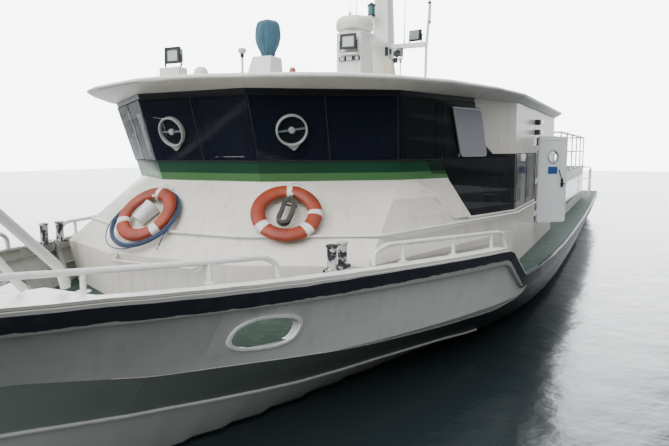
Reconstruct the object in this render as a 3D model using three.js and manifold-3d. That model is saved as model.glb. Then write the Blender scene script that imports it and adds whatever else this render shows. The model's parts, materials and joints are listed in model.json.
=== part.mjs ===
// Passenger ferry: hard-chine hull, raised bow bulwark, forward cabin with wheelhouse, low aft
// cabin under a sun deck. Millimetres, +X to the bow, +Y to port, +Z up, origin on the centreline
// at the waterline amidships.
import * as THREE from "three";
import { mergeVertices } from "three/addons/utils/BufferGeometryUtils.js";
import Module from "manifold-3d";

const wasm = await Module();
wasm.setup();

// Driving dimensions
const GAP = 0.3; // between pieces that touch
const DECK = 1050; // main deck above the waterline
const TRANSOM_X = -13000;
const BULWARK_WALL = 60;
const SHEER_END_X = 5040; // where the raised bow bulwark has run out on the deck
const WALL = 60; // cabin walls
const CABIN_AFT_X = 100;
const CABIN_HALF = 2900; // half width of both cabins
const CABIN_TOP = 3345;
const ROOF_LIP_LOW = 3415;
const ROOF_LIP_TOP = 3465;
const ROOF_CROWN = 3540;
const GLASS = 10;
const BAND_LOW = 2580; // front windows
const BAND_TOP = 3290;
const SILL_Z = 1875; // passenger windows
const HEAD_Z = 2650;
const WHEELHOUSE_FLOOR = 1450;
const AFT_CABIN = { aft: -9000, fore: -1400, top: 2100 };
const SUN_DECK_TOP = 2150;
const AFT_SOLE = 250; // sunk floor of the aft cabin
const PIPE = 24; // handrail radius

const material = (color, roughness = 0.5, metalness = 0, extra = {}) =>
  new THREE.MeshStandardMaterial({ color, roughness, metalness, ...extra });
const white = () => material(0xe9eae6, 0.35);
const black = () => material(0x17171b, 0.6);
const glassMaterial = () => material(0x10141c, 0.08, 0, { transparent: true, opacity: 0.55 });

const V = (x, y, z) => new THREE.Vector3(x, y, z);

// Solids
function manifoldOf(geometry, flip = false) {
  const bare = new THREE.BufferGeometry();
  bare.setAttribute("position", geometry.getAttribute("position"));
  if (geometry.index) bare.setIndex(geometry.index);
  const merged = mergeVertices(bare, 1e-3);
  const triVerts = new Uint32Array(merged.index.array);
  if (flip) {
    for (let i = 0; i < triVerts.length; i += 3) {
      [triVerts[i + 1], triVerts[i + 2]] = [triVerts[i + 2], triVerts[i + 1]];
    }
  }
  const vertProperties = new Float32Array(merged.attributes.position.array);
  return new wasm.Manifold(new wasm.Mesh({ numProp: 3, vertProperties, triVerts }));
}

function solid(geometry) {
  const made = manifoldOf(geometry);
  return made.volume() < 0 ? manifoldOf(geometry, true) : made;
}

const join = (...solids) => solids.flat().reduce((a, b) => a.add(b));

function geometryOf(made) {
  const mesh = made.getMesh();
  const geometry = new THREE.BufferGeometry();
  geometry.setAttribute("position", new THREE.BufferAttribute(mesh.vertProperties, 3));
  geometry.setIndex(new THREE.BufferAttribute(mesh.triVerts, 1));
  geometry.computeVertexNormals();
  return geometry;
}

// The triangles that close a ring, as indices into it; a point that lies on a straight run
// of the outline is dropped by the triangulation, so such a ring is closed from its middle.
function capOf(ring) {
  const count = ring.length;
  const normal = V(0, 0, 0);
  ring.forEach((p, i) => normal.add(p.clone().cross(ring[(i + 1) % count])));
  const size = [Math.abs(normal.x), Math.abs(normal.y), Math.abs(normal.z)];
  const drop = size.indexOf(Math.max(...size));
  const flat = ring.map((p) => {
    const keep = [p.x, p.y, p.z].filter((_, k) => k !== drop);
    return new THREE.Vector2(keep[0], keep[1]);
  });
  const turn = THREE.ShapeUtils.isClockWise(flat) ? -1 : 1;
  const faces = THREE.ShapeUtils.triangulateShape(flat, []).map(([a, b, c]) =>
    THREE.ShapeUtils.area([flat[a], flat[b], flat[c]]) * turn > 0 ? [a, b, c] : [a, c, b]);
  if (faces.length === count - 2) return { faces, middle: null };
  const middle = ring.reduce((sum, p) => sum.add(p), V(0, 0, 0)).divideScalar(count);
  return { faces: ring.map((_, i) => [i, (i + 1) % count, count]), middle };
}

// A closed skin through rings of equal length, with a cap at both ends.
function loft(rings) {
  const count = rings[0].length;
  const points = rings.flat();
  const index = [];
  for (let i = 0; i + 1 < rings.length; i += 1) {
    for (let j = 0; j < count; j += 1) {
      const a = i * count + j;
      const b = i * count + ((j + 1) % count);
      index.push(a, b, b + count, a, b + count, a + count);
    }
  }
  [[0, true], [rings.length - 1, false]].forEach(([ring, turned]) => {
    const { faces, middle } = capOf(rings[ring]);
    const id = (k) => (k === count ? points.length : ring * count + k);
    faces.forEach(([a, b, c]) => index.push(...(turned ? [a, c, b] : [a, b, c]).map(id)));
    if (middle) points.push(middle);
  });
  const geometry = new THREE.BufferGeometry().setFromPoints(points);
  geometry.setIndex(index);
  return solid(geometry);
}

function box(x0, x1, y0, y1, z0, z1) {
  const geometry = new THREE.BoxGeometry(x1 - x0, y1 - y0, z1 - z0);
  geometry.translate((x0 + x1) / 2, (y0 + y1) / 2, (z0 + z1) / 2);
  return solid(geometry);
}

// Prisms from an outline: seen from the side [x, z] and run along Y, or in plan [x, y] along Z.
const sidePrism = (outline, y0, y1) =>
  loft([y0, y1].map((y) => outline.map(([x, z]) => V(x, y, z))));
const planPrism = (outline, z0, z1) =>
  loft([z0, z1].map((z) => outline.map(([x, y]) => V(x, y, z))));

function rod(from, to, radius, sides = 6, endRadius = radius) {
  const run = to.clone().sub(from);
  const geometry = new THREE.CylinderGeometry(endRadius, radius, run.length(), sides);
  geometry.applyQuaternion(
    new THREE.Quaternion().setFromUnitVectors(V(0, 1, 0), run.clone().normalize()),
  );
  geometry.translate(...from.clone().add(to).multiplyScalar(0.5).toArray());
  return solid(geometry);
}

// A bent pipe: one skin whose rings lie in the mitre plane of each bend.
function pipe(points, radius = PIPE, sides = 6) {
  const runs = points.slice(1).map((p, i) => p.clone().sub(points[i]).normalize());
  const side = Math.abs(runs[0].z) < 0.9 ? V(0, 0, 1) : V(1, 0, 0);
  const u = side.cross(runs[0]).normalize();
  const w = runs[0].clone().cross(u);
  let offsets = Array.from({ length: sides }, (_, i) => {
    const angle = ((i + 0.5) / sides) * 2 * Math.PI;
    return u.clone().multiplyScalar(radius * Math.cos(angle))
      .addScaledVector(w, radius * Math.sin(angle));
  });
  const rings = points.map((point, i) => {
    const before = runs[Math.max(i - 1, 0)];
    const after = runs[Math.min(i, runs.length - 1)];
    const mitre = before.clone().add(after).normalize();
    const reached = offsets.map((o) =>
      o.clone().addScaledVector(before, -o.dot(mitre) / before.dot(mitre)));
    offsets = reached.map((q) => q.clone().addScaledVector(after, -q.dot(after)));
    return reached.map((q) => q.clone().add(point));
  });
  return loft(rings);
}

function lathe(profile, segments = 24) {
  const points = profile.map(([r, z]) => new THREE.Vector2(r, z));
  return solid(new THREE.LatheGeometry(points, segments).rotateX(Math.PI / 2));
}

const mirrorY = (made) => made.mirror([0, 1, 0]);

const group = new THREE.Group();
function place(name, made, finish, parent = group) {
  const mesh = new THREE.Mesh(geometryOf(made), finish);
  mesh.name = name;
  parent.add(mesh);
  return mesh;
}

function placeBoth(stem, port, finish) {
  place(`${stem}_port`, port, finish());
  place(`${stem}_stbd`, mirrorY(port), finish());
}

// Hull form: a row for each station, from the stem to the transom.
// x and y, z of the gunwale, of the upper knuckle and of the chine, then of the keel.
const STEM = {
  gunwale: V(13000, 50, 1830),
  knuckle: V(12550, 48, 1420),
  chine: V(12250, 46, 1020),
  keel: V(11450, 40, -150),
};
const FOREFOOT = {
  gunwale: V(12250, 460, 1800),
  knuckle: V(11860, 300, 1320),
  chine: V(11660, 215, 910),
  keel: V(11250, 40, -310),
};
const stations = [
  // x, gunwale y z, knuckle y z, chine y z, keel z
  [11000, 1020, 1760, 620, 1220, 450, 800, -450],
  [9900, 1500, 1675, 1090, 990, 810, 600, -760],
  [9160, 1820, 1625, 1440, 880, 1120, 510, -900],
  [8320, 2170, 1585, 1860, 800, 1500, 440, -950],
  [7220, 2610, 1545, 2330, 765, 1900, 390, -980],
  [6050, 3010, 1510, 2760, 745, 2310, 330, -1000],
  [5040, 3240, 1490, 3040, 735, 2640, 260, -1000],
  [3000, 3360, 1480, 3230, 725, 2920, 170, -1000],
  [0, 3400, 1480, 3300, 720, 3050, 120, -1000],
  [-6000, 3390, 1480, 3280, 720, 3030, 110, -930],
  [TRANSOM_X, 3250, 1480, 3150, 720, 2920, 100, -820],
].map(([x, gy, gz, ky, kz, cy, cz, keel]) => ({
  gunwale: V(x, gy, gz),
  knuckle: V(x, ky, kz),
  chine: V(x, cy, cz),
  keel: V(x, 40, keel),
}));
const frames = [STEM, FOREFOOT, ...stations];
const SUB = 2; // smooth steps between two stations
const TOP_Z = 2300; // the sides carried up past the gunwale, to be cut to the sheer

const rowCurve = (row) =>
  new THREE.CatmullRomCurve3(frames.map((f) => f[row]), false, "centripetal");
const rows = {
  gunwale: rowCurve("gunwale"),
  knuckle: rowCurve("knuckle"),
  chine: rowCurve("chine"),
  keel: rowCurve("keel"),
};
const STEPS = (frames.length - 1) * SUB;

function section(step, inset) {
  const at = (row) => rows[row].getPoint(step / STEPS);
  const gunwale = at("gunwale");
  const knuckle = at("knuckle");
  const rise = (TOP_Z - gunwale.z) / (gunwale.z - knuckle.z);
  const top = gunwale.clone().add(gunwale.clone().sub(knuckle).multiplyScalar(rise));
  const stemShift = step === 0 ? 2.2 * inset : 0;
  return [top, knuckle, at("chine"), at("keel")].map((p, i) => {
    const y = i === 3 ? p.y : Math.max(p.y - inset, 20);
    return V(p.x - stemShift, y, p.z);
  });
}

// The whole form, carried up to TOP_Z; a positive inset brings the sides inwards.
function hullForm(inset = 0) {
  const port = loft(
    Array.from({ length: STEPS + 1 }, (_, step) => {
      const half = section(step, inset);
      return [...half, V(half[3].x, 0, half[3].z), V(half[0].x, 0, half[0].z)];
    }),
  );
  return port.add(mirrorY(port));
}

// The sheer: height of the gunwale along x, with the run-down to the deck.
const SHEER_STEPS = 14;
function sheerLine(offset) {
  const fore = [];
  for (let i = 0; i <= SHEER_STEPS; i += 1) {
    const p = rows.gunwale.getPoint(((i / SHEER_STEPS) * 7) / (frames.length - 1));
    fore.push([p.x, p.z + offset]);
  }
  return fore;
}
// Round the run-down's two corners.
const runDown = (offset) => [
  [5900, 1500 + offset],
  [5780, 1462 + offset],
  [5160, 1098 + offset],
  [5040, DECK - 10 + offset],
];
const hull = hullForm();
const belowDeck = box(-14000, 14000, -4000, 4000, -1500, DECK);

const aftSole = box(AFT_CABIN.aft + 100, AFT_CABIN.fore - 100, -2650, 2650, AFT_SOLE, DECK + 10);
const engineRoom = box(-12200, -9400, -1750, 1750, -150, DECK - 80);
const engineHatchway = box(-11900, -9700, -900, 900, 0, DECK + 10);
const foreHatchway = box(9450, 9950, -250, 250, 700, DECK + 10);
const coaming = (x0, x1, half, height) =>
  box(x0 - 50, x1 + 50, -half - 50, half + 50, DECK - 5, DECK + height).subtract(
    box(x0, x1, -half, half, DECK - 20, DECK + height + 5),
  );
const rudderX = -12350;
const rudderY = 1100;
const STOCK = { radius: 42, clearance: 0.6, top: -250, sides: 32 };
const rudderTrunk = (y) =>
  rod(V(rudderX, y, -900), V(rudderX, y, STOCK.top), STOCK.radius + STOCK.clearance,
    STOCK.sides);
const hullBody = hull
  .intersect(belowDeck)
  .subtract(aftSole)
  .subtract(engineRoom)
  .subtract(engineHatchway)
  .subtract(foreHatchway)
  .add(coaming(9450, 9950, 250, 70))
  .add(coaming(-11900, -9700, 900, 70))
  .subtract(rudderTrunk(rudderY))
  .subtract(rudderTrunk(-rudderY));

// Bulwark, with an oval fairlead in each side
const sheer = sheerLine(0).filter(([x]) => x > 6000);
const bulwarkOutline = [
  ...sheer,
  ...runDown(0).slice(0, 3),
  [SHEER_END_X + 20, DECK + GAP],
  [13400, DECK + GAP],
];
const FAIRLEAD = { x: 9080, z: 1130, half: 300, high: 135, tilt: 0.13 };
function ovalOutline(grow) {
  const points = [];
  for (let i = 0; i < 24; i += 1) {
    const a = (i / 24) * 2 * Math.PI;
    const u = (FAIRLEAD.half + grow) * Math.sign(Math.cos(a)) * Math.abs(Math.cos(a)) ** 0.8;
    const w = (FAIRLEAD.high + grow) * Math.sign(Math.sin(a)) * Math.abs(Math.sin(a)) ** 0.8;
    points.push([
      FAIRLEAD.x + u * Math.cos(FAIRLEAD.tilt) - w * Math.sin(FAIRLEAD.tilt),
      FAIRLEAD.z + u * Math.sin(FAIRLEAD.tilt) + w * Math.cos(FAIRLEAD.tilt) + 40,
    ]);
  }
  return points;
}
const wellForm = hullForm(BULWARK_WALL);
const fairleadHole = sidePrism(ovalOutline(0), -3000, 3000);
const bulwark = hull
  .intersect(sidePrism(bulwarkOutline, -4000, 4000))
  .subtract(wellForm)
  .subtract(fairleadHole);
const rimBand = hullForm(-18).subtract(hullForm(-GAP));
const rimRing = sidePrism(ovalOutline(28), 500, 3000).subtract(
  sidePrism(ovalOutline(-2), 400, 3100),
);
placeBoth("fairlead_rim", rimBand.intersect(rimRing), () => material(0xb9bcbd, 0.3, 0.8));

// White cap on the bulwark, and the black rubbing strake under it and along the deck edge
const capOutline = (low, high) => {
  const line = (offset) => [
    ...sheerLine(offset).filter(([x]) => x > 6000),
    ...runDown(offset).slice(0, 3),
  ];
  return [...line(high), ...line(low).reverse()];
};
const cap = hullForm(-20)
  .subtract(hullForm(150))
  .intersect(sidePrism(capOutline(-2, 22), -4000, 4000));
const bowPlate = planPrism(
  [[10400, 2000], [13300, 2000], [13300, -2000], [10400, -2000], [10400, -640], [11400, -640],
    [11400, 640], [10400, 640]],
  1700,
  1900,
).intersect(sidePrism(capOutline(-2, 22), -4000, 4000)).intersect(hullForm(-20));
const capped = join(bulwark, cap, bowPlate);
place("bulwark", capped, white());
const capSeat = capped.translate([0, 0, GAP]);

const STRAKE = { out: 48, high: 185 };
const strakeLine = (offset) => [
  ...sheerLine(offset).filter(([x]) => x > 6000),
  ...runDown(offset).map(([x, z]) => [x, Math.max(z, DECK - 12 + offset)]),
  [TRANSOM_X + 40, DECK - 12 + offset],
];
const strake = hullForm(-STRAKE.out)
  .subtract(hullForm(-GAP))
  .intersect(
    sidePrism([...strakeLine(-8), ...strakeLine(-STRAKE.high).reverse()], -4000, 4000),
  );
const portHalf = box(-14000, 14000, GAP / 2, 4000, -1500, 3000);
placeBoth("rubbing_strake", strake.intersect(portHalf), black);

// Rails on the bulwark cap: [x, y, z] down the port side
const rail = (points, feet) =>
  join(
    pipe(points.map((p) => V(...p))),
    feet.map(([x, y, z, top]) => rod(V(x, y, z), V(x, y, top), PIPE * 0.9)),
  );
const foreRail = rail(
  [[11900, 470, 1836], [11800, 500, 2060], [10370, 1010, 1960], [9620, 1420, 1885],
    [9330, 1590, 1862], [9200, 1650, 1790], [9190, 1655, 1652]],
  [[11000, 780, 1784, 2000], [10370, 1010, 1738, 1960], [9620, 1420, 1680, 1885]],
);
placeBoth("bow_rail", foreRail.subtract(capSeat), white);
const sideRail = rail(
  [[7700, 2300, 1586], [7690, 2305, 1740], [7560, 2360, 1790], [6650, 2715, 1742],
    [5900, 2925, 1722], [5700, 2990, 1440]],
  [[7350, 2450, 1573, 1779], [6650, 2715, 1551, 1742], [6120, 2865, 1535, 1728]],
);
placeBoth("side_rail", sideRail.subtract(capSeat), white);

// Mooring posts on the cap, anchor, bow frame
const bollardBase = V(8300, 1930, 1607);
const bollard = join(
  box(8120, 8480, 1870, 1990, bollardBase.z - 10, bollardBase.z + 14),
  [8190, 8410].map((x) =>
    join(
      rod(V(x, 1930, bollardBase.z + 5), V(x, 1930, bollardBase.z + 225), 45, 16),
      rod(V(x, 1930, bollardBase.z + 220), V(x, 1930, bollardBase.z + 242), 56, 16),
    ),
  ),
).subtract(capSeat);
placeBoth("bollard", bollard, () => material(0x24252a, 0.6, 0.3));

const bowFrame = join(
  pipe([V(10420, 880, 1762), V(10450, 880, 1900), V(11500, 760, 3020), V(11500, -760, 3020),
    V(10450, -880, 1900), V(10420, -880, 1762)], 34),
  pipe([V(10610, 700, 1768), V(11440, 640, 2960), V(11500, 640, 3020)], 28),
  pipe([V(10610, -700, 1768), V(11440, -640, 2960), V(11500, -640, 3020)], 28),
).subtract(capSeat);
place("bow_frame", bowFrame, white());

const ANCHOR_X = 10160; // the shank's ring end
const anchor = join(
  sidePrism([[0, 1150], [1100, 1150], [1100, 1195], [0, 1195]], -22, 22),
  planPrism([[1000, -300], [1150, -60], [1150, 60], [1000, 300], [700, 300], [950, 60],
    [950, -60], [700, -300]], DECK + GAP, DECK + 40),
  box(960, 1140, -60, 60, DECK + 20, 1190),
  box(70, 110, -200, 200, 1150, 1185),
  box(40, 140, -60, 60, DECK + GAP, 1160),
).translate([ANCHOR_X, 0, 0]);
place("anchor", anchor, material(0x77797c, 0.5, 0.6));

// Cabin plan at four heights: half outlines from the aft corner round to the centreline
const PLAN = [
  // z, corner of the front facets x y, corner of the side facets x y
  [DECK, 8420, 850, 7880, 2010],
  [1570, 8440, 860, 7930, 2090],
  [2353, 7690, 700, 6730, 1970],
  [CABIN_TOP, 8012, 731, 7043, 2072],
];
const QUARTER_X = 4650; // where the side facets meet the straight sides
const PLAN_RINGS = 4; // rings to each stretch of the plan table
function planAt(z) {
  const i = Math.max(1, PLAN.findIndex((row) => row[0] >= z));
  const [a, b] = [PLAN[i - 1], PLAN[i]];
  const t = (z - a[0]) / (b[0] - a[0]);
  const [, cx, cy, dx, dy] = a.map((value, k) => value + (b[k] - value) * t);
  return { centre: [cx, cy], corner: [dx, dy] };
}
function halfPlan(z) {
  const { centre, corner } = planAt(z);
  return [[CABIN_AFT_X, CABIN_HALF], [QUARTER_X, CABIN_HALF], corner, centre];
}

// Moves each edge of a closed outline inwards (negative: outwards).
function insetOutline(outline, inset) {
  const n = outline.length;
  const turn = Math.sign(
    outline.reduce((s, [x, y], i) => {
      const [u, v] = outline[(i + 1) % n];
      return s + x * v - u * y;
    }, 0),
  );
  const line = (i) => {
    const [x, y] = outline[i];
    const [u, v] = outline[(i + 1) % n];
    const len = Math.hypot(u - x, v - y);
    const nx = (-(v - y) / len) * turn;
    const ny = ((u - x) / len) * turn;
    return { nx, ny, d: nx * (x + nx * inset) + ny * (y + ny * inset) };
  };
  return outline.map((_, i) => {
    const a = line((i + n - 1) % n);
    const b = line(i);
    const det = a.nx * b.ny - a.ny * b.nx;
    return [(a.d * b.ny - b.d * a.ny) / det, (a.nx * b.d - b.nx * a.d) / det];
  });
}

function cabinForm(inset, low = DECK + GAP, high = CABIN_TOP - GAP) {
  const heights = PLAN.slice(1).flatMap(([z], i) =>
    Array.from({ length: PLAN_RINGS }, (_, k) =>
      PLAN[i][0] + ((z - PLAN[i][0]) * k) / PLAN_RINGS));
  const rings = [...heights, CABIN_TOP].map((z) => {
    const half = halfPlan(z);
    const full = [...half, ...half.map(([x, y]) => [x, -y]).reverse()];
    const port = insetOutline(full, inset).slice(0, half.length).map(([x, y]) => V(x, y, z));
    return [...port, V(port.at(-1).x, 0, z), V(port[0].x, 0, z)];
  });
  rings[0].forEach((p) => p.setZ(DECK - 200));
  const over = rings.at(-1).map((p, i) => p.clone().lerp(rings.at(-2)[i], -0.5));
  const port = loft([...rings, over]);
  return port.add(mirrorY(port)).intersect(box(-20000, 20000, -5000, 5000, low, high));
}

// Point on the outer face of a facet: u from its forward to its aft corner, at height z.
function facetPoint(u, z, facet) {
  const { centre, corner } = planAt(z);
  const [from, to] = {
    front: [centre, [centre[0], -centre[1]]],
    diagonal: [centre, corner],
    quarter: [corner, [QUARTER_X, CABIN_HALF]],
  }[facet];
  return V(from[0] + (to[0] - from[0]) * u, from[1] + (to[1] - from[1]) * u, z);
}

// A cutter through a facet between two heights.
function pane(facet, u0, u1, z0, z1, depth = 130) {
  const corners = [
    facetPoint(u0, z0, facet),
    facetPoint(u1, z0, facet),
    facetPoint(u1, z1, facet),
    facetPoint(u0, z1, facet),
  ];
  const normal = corners[1].clone().sub(corners[0]).cross(corners[3].clone().sub(corners[0]));
  normal.normalize().multiplyScalar(depth);
  return loft([1, -1].map((s) => corners.map((p) => p.clone().addScaledVector(normal, s))));
}

const cabinShell = cabinForm(0).subtract(cabinForm(WALL, 0, 5000));
const frontWindows = join(
  pane("front", 0.05, 0.46, BAND_LOW + 30, BAND_TOP - 40),
  pane("front", 0.54, 0.95, BAND_LOW + 30, BAND_TOP - 40),
  pane("diagonal", 0.05, 0.47, BAND_LOW + 30, BAND_TOP - 40),
  pane("diagonal", 0.53, 0.95, BAND_LOW + 30, BAND_TOP - 40),
  pane("quarter", 0.05, 0.28, BAND_LOW + 30, BAND_TOP - 40),
  pane("quarter", 0.34, 0.62, BAND_LOW + 60, BAND_TOP - 60),
  pane("quarter", 0.72, 0.97, SILL_Z + 60, HEAD_Z - 60),
);
const foreWalls = cabinShell.intersect(box(QUARTER_X, 9000, -4000, 4000, 0, 5000));
const cabinFront = foreWalls.subtract(frontWindows).subtract(mirrorY(frontWindows));

const DOOR = { fore: 2620, aft: 2060, low: 1475, high: 2905 };
const sideWindow = (x0, x1) => box(x0, x1, 2500, 3100, SILL_Z + 60, HEAD_Z - 60);
const sideWall = box(CABIN_AFT_X, QUARTER_X - GAP, CABIN_HALF - WALL, CABIN_HALF, DECK + GAP,
  CABIN_TOP - GAP)
  .subtract(box(DOOR.aft, DOOR.fore, 2500, 3100, DOOR.low, DOOR.high))
  .subtract(sideWindow(3720, 4560))
  .subtract(sideWindow(2830, 3630));

const AFT_DOOR = { y0: -950, y1: -250, low: 1200, high: 3000 };
const cabinAft = box(CABIN_AFT_X, CABIN_AFT_X + WALL, -CABIN_HALF + WALL + GAP,
  CABIN_HALF - WALL - GAP, DECK + GAP, CABIN_TOP - GAP)
  .subtract(box(0, 300, AFT_DOOR.y0, AFT_DOOR.y1, AFT_DOOR.low, AFT_DOOR.high));

// Dark glass, bonded outside the walls
const glassSkin = cabinForm(-GLASS - GAP, 0, 5000).subtract(cabinForm(-GAP, 0, 5000));
// The front band ends and the side glass starts on the edge of the diagonal facet.
const edgeX = (z) => planAt(z).corner[0];
const bandGlass = glassSkin.intersect(
  sidePrism([[edgeX(BAND_LOW), BAND_LOW], [9000, BAND_LOW], [9000, BAND_TOP],
    [edgeX(BAND_TOP), BAND_TOP]], -4000, 4000),
);
place("window_band", bandGlass, glassMaterial());

const DARK_SIDE = [
  [edgeX(BAND_LOW) - 1, BAND_LOW],
  [edgeX(BAND_TOP) - 1, BAND_TOP],
  [5660, BAND_TOP],
  [5540, 2890],
  [5180, HEAD_Z],
  [2740, HEAD_Z],
  [2740, SILL_Z],
  [5800, SILL_Z],
  [6400, BAND_LOW],
];
const sideGlass = glassSkin.intersect(sidePrism(DARK_SIDE, 1700, 3500));
placeBoth("side_glass", sideGlass, glassMaterial);

// Hung window in the quarter facet, tipped a little off the glass
const hungCorners = [
  facetPoint(0.36, 2625, "quarter"),
  facetPoint(0.64, 2625, "quarter"),
  facetPoint(0.585, 3215, "quarter"),
  facetPoint(0.28, 3215, "quarter"),
];
const hungNormal = hungCorners[1].clone().sub(hungCorners[0])
  .cross(hungCorners[3].clone().sub(hungCorners[0])).normalize();
if (hungNormal.y < 0) hungNormal.negate();
const HUNG_OFF = 16; // off the glass at its edges
const hungHinge = hungCorners.slice(2).map((p) =>
  p.clone().addScaledVector(hungNormal, GLASS + 14));
const glassFace = cabinForm(-GLASS - 2 * GAP, 0, 5000);
const hungWindow = join(
  loft([HUNG_OFF, HUNG_OFF + 28].map((out) =>
    hungCorners.map((p) => p.clone().addScaledVector(hungNormal, GLASS + out)))),
  rod(hungHinge[0], hungHinge[1], 19, 8),
).subtract(glassFace);
placeBoth("hung_window", hungWindow, () => material(0x8d8a8d, 0.25, 0.2));

// Handrail round the front and sides, on short brackets
const HANDRAIL = { z: 1829, off: 48, radius: 15, end: 2760 };
function outlineAt(z, off) {
  const half = halfPlan(z);
  const full = [...half, ...half.map(([x, y]) => [x, -y]).reverse()];
  return insetOutline(full, -off).slice(0, half.length);
}
const handrailPath = outlineAt(HANDRAIL.z, HANDRAIL.off).map(([x, y]) => V(x, y, HANDRAIL.z));
handrailPath[0].setX(HANDRAIL.end);
const wallPath = outlineAt(HANDRAIL.z, 0).map(([x, y]) => V(x, y, HANDRAIL.z));
wallPath[0].setX(HANDRAIL.end);
const handrailBrackets = [
  // run of the path, share along it
  [0, 0.03], [0, 0.5], [0, 0.97], [1, 0.35], [1, 0.7], [1, 0.97], [2, 0.45], [2, 0.9],
].map(([run, share]) =>
  rod(wallPath[run].clone().lerp(wallPath[run + 1], share),
    handrailPath[run].clone().lerp(handrailPath[run + 1], share), 8));
const handrailHalf = join(
  pipe([...handrailPath, V(handrailPath.at(-1).x, -1, HANDRAIL.z)], HANDRAIL.radius),
  handrailBrackets,
).subtract(cabinForm(-GAP, 0, 5000));
place("handrail", join(handrailHalf, mirrorY(handrailHalf)), white());

// Clear-view screens: a ring on the glass with a bar across it and a small foot
function clearView(facet, u, z) {
  const centre = facetPoint(u, z, facet);
  const along = facetPoint(1, z, facet).sub(facetPoint(0, z, facet)).normalize();
  const up = facetPoint(u, z + 100, facet).sub(centre).normalize();
  const out = along.clone().cross(up).normalize();
  if (out.x < 0) out.negate();
  const ring = solid(
    new THREE.LatheGeometry(
      [[150, -20], [172, -20], [172, 34], [150, 34], [150, -20]].map(
        ([r, h]) => new THREE.Vector2(r, h)),
      24,
    ),
  );
  const bar = join(
    solid(new THREE.BoxGeometry(316, 12, 26).translate(0, 18, 0)),
    solid(new THREE.CylinderGeometry(36, 36, 34, 16).translate(0, 17, 0)),
    solid(new THREE.CylinderGeometry(1, 34, 60, 3).rotateX(Math.PI / 2).translate(0, 17, 190)),
  );
  const made = join(ring, bar);
  // the ring's back is cut to the glass
  const turn = new THREE.Matrix4().makeBasis(up.clone().cross(out), out, up.clone().negate());
  turn.setPosition(centre.addScaledVector(out, GLASS + 20));
  return made.transform(turn.toArray()).subtract(glassFace);
}
place("clear_view_port", clearView("diagonal", 0.26, 2925), material(0xc8ccd0, 0.35, 0.5));
place("clear_view_stbd", clearView("front", 0.74, 2925), material(0xc8ccd0, 0.35, 0.5));

// Roof: lip and wall outlines side by side
const ROOF = [
  // lip x y, bearing x y
  [8420, 0, 8060, 0],
  [8370, 450, 8055, 400],
  [8210, 930, 8030, 800],
  [8020, 1420, 7720, 1230],
  [7790, 1800, 7480, 1560],
  [7350, 2180, 7150, 2050],
  [6700, 2560, 6400, 2330],
  [5700, 2860, 5600, 2640],
  [4650, 3020, 4650, 2915],
  [-20, 3030, 90, 2915],
];
function roofRing(pick, z) {
  const half = ROOF.map((row) => pick(row));
  const full = [...half, ...half.slice(1).map(([x, y]) => [x, -y]).reverse()];
  return full.map(([x, y]) => V(x, y, z));
}
const roof = loft([
  roofRing(([, , x, y]) => [x, y], CABIN_TOP),
  roofRing(([x, y]) => [x - 12, y * 0.994], ROOF_LIP_LOW),
  roofRing(([x, y]) => [x, y], (ROOF_LIP_LOW + ROOF_LIP_TOP) / 2),
  roofRing(([x, y]) => [x - 14, y * 0.994], ROOF_LIP_TOP),
  roofRing(([x, y]) => [x * 0.98 - 40, y * 0.93], ROOF_LIP_TOP + 24),
  roofRing(([x, y]) => [x * 0.9 + 60, y * 0.6], ROOF_CROWN - 12),
  roofRing(([x, y]) => [x * 0.8 + 120, y * 0.2], ROOF_CROWN),
]);

// Wheelhouse floor with its console and two helm chairs
const chair = (y) =>
  join(
    rod(V(5750, y, WHEELHOUSE_FLOOR - 10), V(5750, y, WHEELHOUSE_FLOOR + 460), 55, 10),
    box(5480, 6000, y - 250, y + 250, WHEELHOUSE_FLOOR + 440, WHEELHOUSE_FLOOR + 560),
    box(5380, 5490, y - 240, y + 240, WHEELHOUSE_FLOOR + 460, WHEELHOUSE_FLOOR + 1180),
  );
const consoleShape = sidePrism(
  [[6250, WHEELHOUSE_FLOOR - 10], [6900, WHEELHOUSE_FLOOR - 10], [6900, 2330], [6650, 2420],
    [6200, 2200]],
  -1450,
  1450,
);
const wheelhouseFloor = join(
  planPrism([[4200, 2700], [4700, 2700], [7600, 1850], [7600, -1850], [4700, -2700],
    [4200, -2700]], DECK + GAP, WHEELHOUSE_FLOOR),
  consoleShape,
  chair(650),
  chair(-650),
);
place("wheelhouse_floor", wheelhouseFloor, material(0x4a4d50, 0.7));

// Passenger benches, each side joined by its floor runners
function benches(xs, y0, y1, floor) {
  const seat = (x) =>
    join(
      box(x - 220, x + 240, y0, y1, floor + 360, floor + 450),
      sidePrism([[x - 290, floor + 980], [x - 220, floor + 980], [x - 140, floor + 400],
        [x - 220, floor + 380]], y0, y1),
      [y0 + 150, y1 - 150].map((y) =>
        box(x - 40, x + 40, y - 20, y + 20, floor + 20, floor + 400),
      ),
    );
  const runners = [y0 + 150, y1 - 150].map((y) =>
    box(Math.min(...xs) - 200, Math.max(...xs) + 200, y - 35, y + 35, floor + GAP, floor + 30),
  );
  return join(xs.map(seat), runners);
}
const seatGreen = () => material(0x2f4a3a, 0.8);
// Both sides stand on one aisle mat.
function seating(xs, y0, y1, floor) {
  const port = benches(xs, y0, y1, floor);
  const mat = box(Math.min(...xs) - 200, Math.max(...xs) + 200, -y0 - 200, y0 + 200, floor + GAP,
    floor + 12);
  return join(port, mirrorY(port), mat);
}
place("seats_fore", seating([700, 1500, 3000, 3800], 500, 2500, DECK), seatGreen());
place("seats_aft", seating([-2600, -3500, -4400, -5300, -6200, -7100, -8000], 450, 2450,
  AFT_SOLE), seatGreen());

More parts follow.
